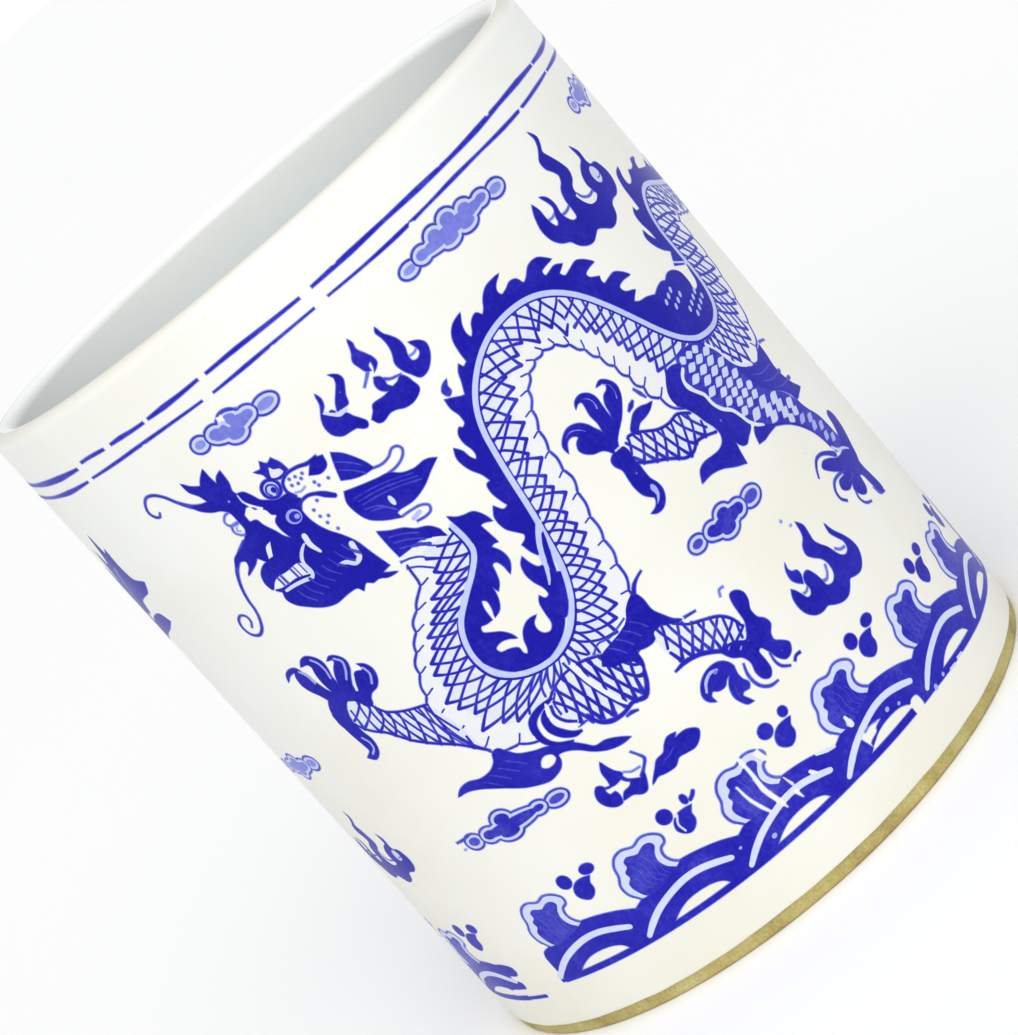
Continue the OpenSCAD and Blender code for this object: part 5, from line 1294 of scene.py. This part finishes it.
def build_foot(material):
    rough = np.random.default_rng(11).normal(0.0, GRIT, GRAINS)
    profile = arc(BODY_R - 0.6, 0.6, 0.6, -90, 0, 8) + up(BODY_R, 0.6, FOOT_TOP - 0.15, 0.14)
    profile += [(BODY_R, FOOT_TOP), (FOOT_IN, FOOT_TOP)] + up(FOOT_IN, FOOT_TOP, 0.4, 0.6)
    profile += arc(FOOT_IN + 0.4, 0.4, 0.4, 180, 270, 4)
    profile += [(FOOT_IN + 0.4 + 0.4 * k, 0.0) for k in range(1, 17)]

    def gritty(r, z, angle):
        """Chips of grit out of the standing face and the outside, another grain at every point."""
        spot = int(angle * 1147 + z * 7919 + r * 613) * 37 % GRAINS
        if z > FOOT_TOP - 0.3:
            return 0.0, 0.0
        if z < 1e-6:
            return 0.0, abs(rough[spot]) * 0.6
        return -abs(rough[spot]) * 0.8, 0.0

    return revolve("foot", "foot_ring", material, profile, 1440,
                   [(BODY_R, FOOT_TOP), (FOOT_IN, FOOT_TOP)], gritty)


# ---- materials ----

def start_material(name):
    material = bpy.data.materials.new(name)
    material.use_nodes = True
    tree = material.node_tree
    surface = tree.nodes["Principled BSDF"]
    return material, tree, surface


def add(tree, kind, values=None, **settings):
    """Add a node. values are its inputs, each a number, a colour or another node's output."""
    node = tree.nodes.new("ShaderNode" + kind)
    for key, value in settings.items():
        setattr(node, key, value)
    for key, value in (values or {}).items():
        if isinstance(value, bpy.types.NodeSocket):
            tree.links.new(value, node.inputs[key])
        else:
            node.inputs[key].default_value = value
    return node


def noise(tree, place, scale, detail=3.0, roughness=0.5):
    return add(tree, "TexNoise", {"Vector": place, "Scale": scale, "Detail": detail,
                                  "Roughness": roughness}).outputs["Fac"]


def ramp(tree, value, stops):
    node = add(tree, "ValToRGB", {"Fac": value})
    marks = node.color_ramp.elements
    while len(marks) < len(stops):
        marks.new(0.5)
    for mark, (at, colour) in zip(marks, stops):
        mark.position = at
        mark.color = tuple(colour) + (1.0,)
    return node.outputs["Color"]


def spread(tree, value, from_low, from_high, to_low, to_high):
    return add(tree, "MapRange", {"Value": value, "From Min": from_low, "From Max": from_high,
                                  "To Min": to_low, "To Max": to_high}).outputs["Result"]


def calc(tree, operation, first, second):
    return add(tree, "Math", {0: first, 1: second}, operation=operation).outputs[0]


def blend_colours(tree, share, first, second):
    node = add(tree, "Mix", data_type="RGBA")
    for socket, value in ((0, share), (6, first), (7, second)):
        if isinstance(value, bpy.types.NodeSocket):
            tree.links.new(value, node.inputs[socket])
        else:
            node.inputs[socket].default_value = value if socket == 0 else tuple(value) + (1.0,)
    return node.outputs[2]


# The two whites: the warmer, darker one is painted shade towards the foot and the lighter one is painted
# light towards the top; noise also mixes them as the glaze's own cloudy tone.
SHADE_WARM_WHITE, LIT_COOL_WHITE, LIP_TINT = (0.80, 0.785, 0.69), (0.86, 0.87, 0.84), (0.66, 0.61, 0.51)


def shaded_glaze_colour(tree, place):
    """White with cloudy tone, painted shade that darkens and warms it towards the foot and painted light
    towards the top, and a few specks.
    """
    height = add(tree, "SeparateXYZ", {"Vector": place}).outputs["Z"]
    # Painted light and shade: the share of the lighter white grows with height, plus random cloudy tone.
    tone_and_painted_light = calc(tree, "ADD", spread(tree, height, 0.0, HEIGHT * MM, -0.25, 0.55),
                spread(tree, noise(tree, place, 38.0, 4.0), 0.3, 0.7, 0.05, 0.75))
    cloudy = ramp(tree, tone_and_painted_light, [(0.0, SHADE_WARM_WHITE), (1.0, LIT_COOL_WHITE)])
    cells = add(tree, "TexVoronoi", {"Vector": place, "Scale": 105.0})
    chosen = calc(tree, "GREATER_THAN", add(tree, "SeparateColor", {0: cells.outputs["Color"]}).outputs[0],
                  0.86)
    near = spread(tree, cells.outputs["Distance"], 0.012, 0.03, 1.0, 0.0)
    speck = calc(tree, "MULTIPLY", calc(tree, "MULTIPLY", near, chosen), 0.5)
    thin = spread(tree, height, (HEIGHT - 1.3) * MM, HEIGHT * MM, 0.0, 0.5)
    return blend_colours(tree, speck, blend_colours(tree, thin, cloudy, LIP_TINT), (0.42, 0.34, 0.22))


def glaze_gloss(tree, surface, place, rough_low=0.16, rough_high=0.26):
    """Slow waves and a fine orange peel in the gloss."""
    tree.links.new(spread(tree, noise(tree, place, 90.0, 3.0), 0.3, 0.7, rough_low, rough_high),
                   surface.inputs["Roughness"])
    waves = add(tree, "Bump", {"Strength": 1.0, "Distance": 0.00006,
                               "Height": noise(tree, place, 55.0, 2.0)})
    peel = add(tree, "Bump", {"Strength": 1.0, "Distance": 0.000004,
                              "Height": noise(tree, place, 900.0, 1.0),
                              "Normal": waves.outputs["Normal"]})
    tree.links.new(peel.outputs["Normal"], surface.inputs["Normal"])


def thin_sheen(tree, surface):
    """Weak gloss that dies away towards the outline of the pot."""
    surface.inputs["IOR"].default_value = 1.36
    facing = add(tree, "LayerWeight").outputs["Facing"]
    tree.links.new(spread(tree, facing, 0.45, 0.9, 0.28, 0.02), surface.inputs["Specular IOR Level"])


def make_glaze():
    material, tree, surface = start_material("white_glaze")
    place = add(tree, "TexCoord").outputs["Object"]
    tree.links.new(shaded_glaze_colour(tree, place), surface.inputs["Base Color"])
    glaze_gloss(tree, surface, place)
    thin_sheen(tree, surface)
    return material


def make_inner_glaze():
    """The same glaze on the inside, with painted shade that makes it greyer and darker further down."""
    material, tree, surface = start_material("inner_glaze")
    place = add(tree, "TexCoord").outputs["Object"]
    height = add(tree, "SeparateXYZ", {"Vector": place}).outputs["Z"]
    # Painted shade: the colour darkens from near white at the lip to grey deep inside the pot, with some
    # random cloudy tone.
    depth = calc(tree, "ADD", spread(tree, height, 96 * MM, HEIGHT * MM, 0.0, 1.0),
                 spread(tree, noise(tree, place, 30.0, 4.0), 0.3, 0.7, -0.08, 0.08))
    tree.links.new(ramp(tree, depth, [(0.0, (0.46, 0.49, 0.49)), (0.35, (0.74, 0.78, 0.775)),
                                      (0.7, (0.87, 0.91, 0.90)), (1.0, (0.94, 0.95, 0.93))]),
                   surface.inputs["Base Color"])
    glaze_gloss(tree, surface, place)
    thin_sheen(tree, surface)
    return material


def make_cobalt():
    """Blue under the same glaze: the ink value gives its depth, with a cloudy wash in it."""
    material, tree, surface = start_material("cobalt_print")
    place = add(tree, "TexCoord").outputs["Object"]
    ink = add(tree, "Attribute", attribute_name="ink").outputs["Fac"]
    wash = spread(tree, noise(tree, place, 170.0, 4.0, 0.6), 0.3, 0.7, 0.86, 1.09)
    grain = spread(tree, noise(tree, place, 1500.0, 2.0), 0.3, 0.7, 0.93, 1.06)
    depth = calc(tree, "MULTIPLY", calc(tree, "MULTIPLY", ink, wash), grain)
    blue = ramp(tree, depth, [(0.0, (0.80, 0.82, 0.86)), (0.1, (0.594, 0.645, 0.84)),
                              (0.2, (0.394, 0.445, 0.81)), (0.4, (0.186, 0.213, 0.68)),
                              (0.6, (0.072, 0.078, 0.53)), (0.8, (0.017, 0.015, 0.42)),
                              (1.0, (0.003, 0.002, 0.34))])
    share = spread(tree, depth, 0.0, 0.10, 0.0, 1.0)
    # Where the ink thins out, the colour is the glaze white with its painted shade towards the foot and
    # painted light towards the top.
    tree.links.new(blend_colours(tree, share, shaded_glaze_colour(tree, place), blue),
                   surface.inputs["Base Color"])
    glaze_gloss(tree, surface, place)
    thin_sheen(tree, surface)
    return material


def make_biscuit():
    """Bare fired foot: tan, gritty, with darker stains."""
    material, tree, surface = start_material("bare_foot")
    place = add(tree, "TexCoord").outputs["Object"]
    stains = ramp(tree, noise(tree, place, 130.0, 5.0, 0.65),
                  [(0.25, (0.30, 0.235, 0.07)), (0.5, (0.50, 0.42, 0.15)), (0.75, (0.64, 0.57, 0.28))])
    sand = ramp(tree, noise(tree, place, 2600.0, 2.0), [(0.3, (0.72, 0.70, 0.66)), (0.6, (1.0, 1.0, 1.0))])
    colour = add(tree, "Mix", data_type="RGBA", blend_type="MULTIPLY")
    colour.inputs[0].default_value = 0.8
    tree.links.new(stains, colour.inputs[6])
    tree.links.new(sand, colour.inputs[7])
    tree.links.new(colour.outputs[2], surface.inputs["Base Color"])
    tree.links.new(spread(tree, noise(tree, place, 800.0), 0.3, 0.7, 0.7, 0.95),
                   surface.inputs["Roughness"])
    bump = add(tree, "Bump", {"Strength": 0.8, "Distance": 0.00005,
                              "Height": noise(tree, place, 3200.0, 2.0)})
    tree.links.new(bump.outputs["Normal"], surface.inputs["Normal"])
    return material


def make_porcelain():
    """The fired body inside the glaze."""
    material, tree, surface = start_material("fired_body")
    place = add(tree, "TexCoord").outputs["Object"]
    tree.links.new(ramp(tree, noise(tree, place, 220.0, 5.0),
                        [(0.3, (0.70, 0.67, 0.58)), (0.7, (0.80, 0.78, 0.70))]),
                   surface.inputs["Base Color"])
    tree.links.new(spread(tree, noise(tree, place, 600.0), 0.3, 0.7, 0.6, 0.8),
                   surface.inputs["Roughness"])
    bump = add(tree, "Bump", {"Strength": 0.5, "Distance": 0.00003,
                              "Height": noise(tree, place, 2500.0)})
    tree.links.new(bump.outputs["Normal"], surface.inputs["Normal"])
    return material


def dress_cad_node(node, material):
    piece = bpy.data.objects[node]
    for slot in piece.material_slots:
        slot.material = material


# ---- studio ----

def build_stage():
    """Wide round floor, metres, that rises a little far out."""
    mesh = bpy.data.meshes.new("studio_floor")
    rings = [(0.0, 0.0), (0.6, 0.0), (2.0, 0.0), (8.0, 0.0), (30.0, 0.0), (36.0, 0.6), (40.0, 2.5)]
    steps = 64
    points = [(0.0, 0.0, 0.0)]
    for r, z in rings[1:]:
        points += [(r * math.cos(2 * math.pi * i / steps), r * math.sin(2 * math.pi * i / steps), z)
                   for i in range(steps)]
    faces = [(0, 1 + i, 1 + (i + 1) % steps) for i in range(steps)]
    for k in range(len(rings) - 2):
        a, b = 1 + k * steps, 1 + (k + 1) * steps
        faces += [(a + i, b + i, b + (i + 1) % steps, a + (i + 1) % steps) for i in range(steps)]
    mesh.from_pydata(points, [], faces)
    floor = bpy.data.objects.new("studio_floor", mesh)
    bpy.context.scene.collection.objects.link(floor)
    material, tree, surface = start_material("pale_paper")
    place = add(tree, "TexCoord").outputs["Object"]
    tree.links.new(ramp(tree, noise(tree, place, 3.0),
                        [(0.3, (0.93, 0.93, 0.93)), (0.7, (0.94, 0.94, 0.94))]),
                   surface.inputs["Base Color"])
    surface.inputs["Roughness"].default_value = 0.9
    surface.inputs["Specular IOR Level"].default_value = 0.1
    mesh.materials.append(material)


def soft_light(name, direction, power, spread_deg, colour):
    """Wide, soft light from far off, so that the floor is lit evenly."""
    data = bpy.data.lights.new(name, "SUN")
    data.energy, data.angle, data.color = power, math.radians(spread_deg), colour
    lamp = bpy.data.objects.new(name, data)
    lamp.rotation_euler = Vector(direction).to_track_quat("-Z", "Y").to_euler()
    bpy.context.scene.collection.objects.link(lamp)


def build_lights():
    world = bpy.data.worlds.new("studio")
    bpy.context.scene.world = world
    world.use_nodes = True
    background = world.node_tree.nodes["Background"]
    background.inputs["Color"].default_value = (0.96, 0.98, 1.0, 1.0)
    background.inputs["Strength"].default_value = 0.48
    soft_light("key_softbox", (0.10, 0.80, -0.75), 1.75, 60, (1.0, 0.985, 0.95))
    soft_light("fill_softbox", (-0.8, 0.5, -0.5), 0.2, 60, (0.98, 0.99, 1.0))
    soft_light("top_softbox", (0.0, 0.0, -1.0), 0.58, 40, (0.98, 0.99, 1.0))


def build_camera():
    """Camera that looks 12.4 degrees down, rolled so that the pot leans to the left."""
    elevation, roll = math.radians(12.38), math.radians(41.07)
    right = Vector((1, 0, 0))
    upward = Vector((0, math.sin(elevation), math.cos(elevation)))
    back = Vector((0, -math.cos(elevation), math.sin(elevation)))
    axis_x = right * math.cos(roll) - upward * math.sin(roll)
    axis_y = upward * math.cos(roll) + right * math.sin(roll)
    data = bpy.data.cameras.new("camera")
    data.lens, data.sensor_width = 112.45, 36.0
    camera = bpy.data.objects.new("camera", data)
    aim = Vector((-0.19, 0.0, 59.6)) * MM
    place = aim + back * 0.4873
    bpy.context.scene.collection.objects.link(camera)
    camera.matrix_world = Matrix.Translation(place) @ Matrix((axis_x, axis_y, back)).transposed().to_4x4()
    bpy.context.scene.camera = camera


# ---- the whole scene ----

def build_prints(material):
    """Every print piece: each drawing on the front and again half way round."""
    for name, painter in (("dragon", draw_dragon), ("clouds", draw_clouds), ("flames", draw_flames),
                          ("waves", draw_waves), ("drops", draw_drops)):
        art = Drawing()
        painter(art)
        film = film_of(art)
        print_piece(f"{name}_print_front", f"front_{name}", [(film, 0.0)], material)
        print_piece(f"{name}_print_back", f"back_{name}", [(film, math.pi)], material)
    for name, art in (("upper", draw_upper_line()), ("lower", draw_lower_line())):
        film = film_of(art)
        print_piece(f"{name}_line_print", f"rim_line_{name}", [(film, 0.0), (film, math.pi)], material)


glaze, cobalt = make_glaze(), make_cobalt()
build_outer_glaze(glaze)
build_inner_glaze(make_inner_glaze())
build_base_glaze(glaze)
build_foot(make_biscuit())
body = make_porcelain()
dress_cad_node("porcelain_wall", body)
dress_cad_node("floor_slab", body)
build_prints(cobalt)
build_stage()
build_lights()
build_camera()
bpy.context.scene.view_settings.view_transform = "Standard"
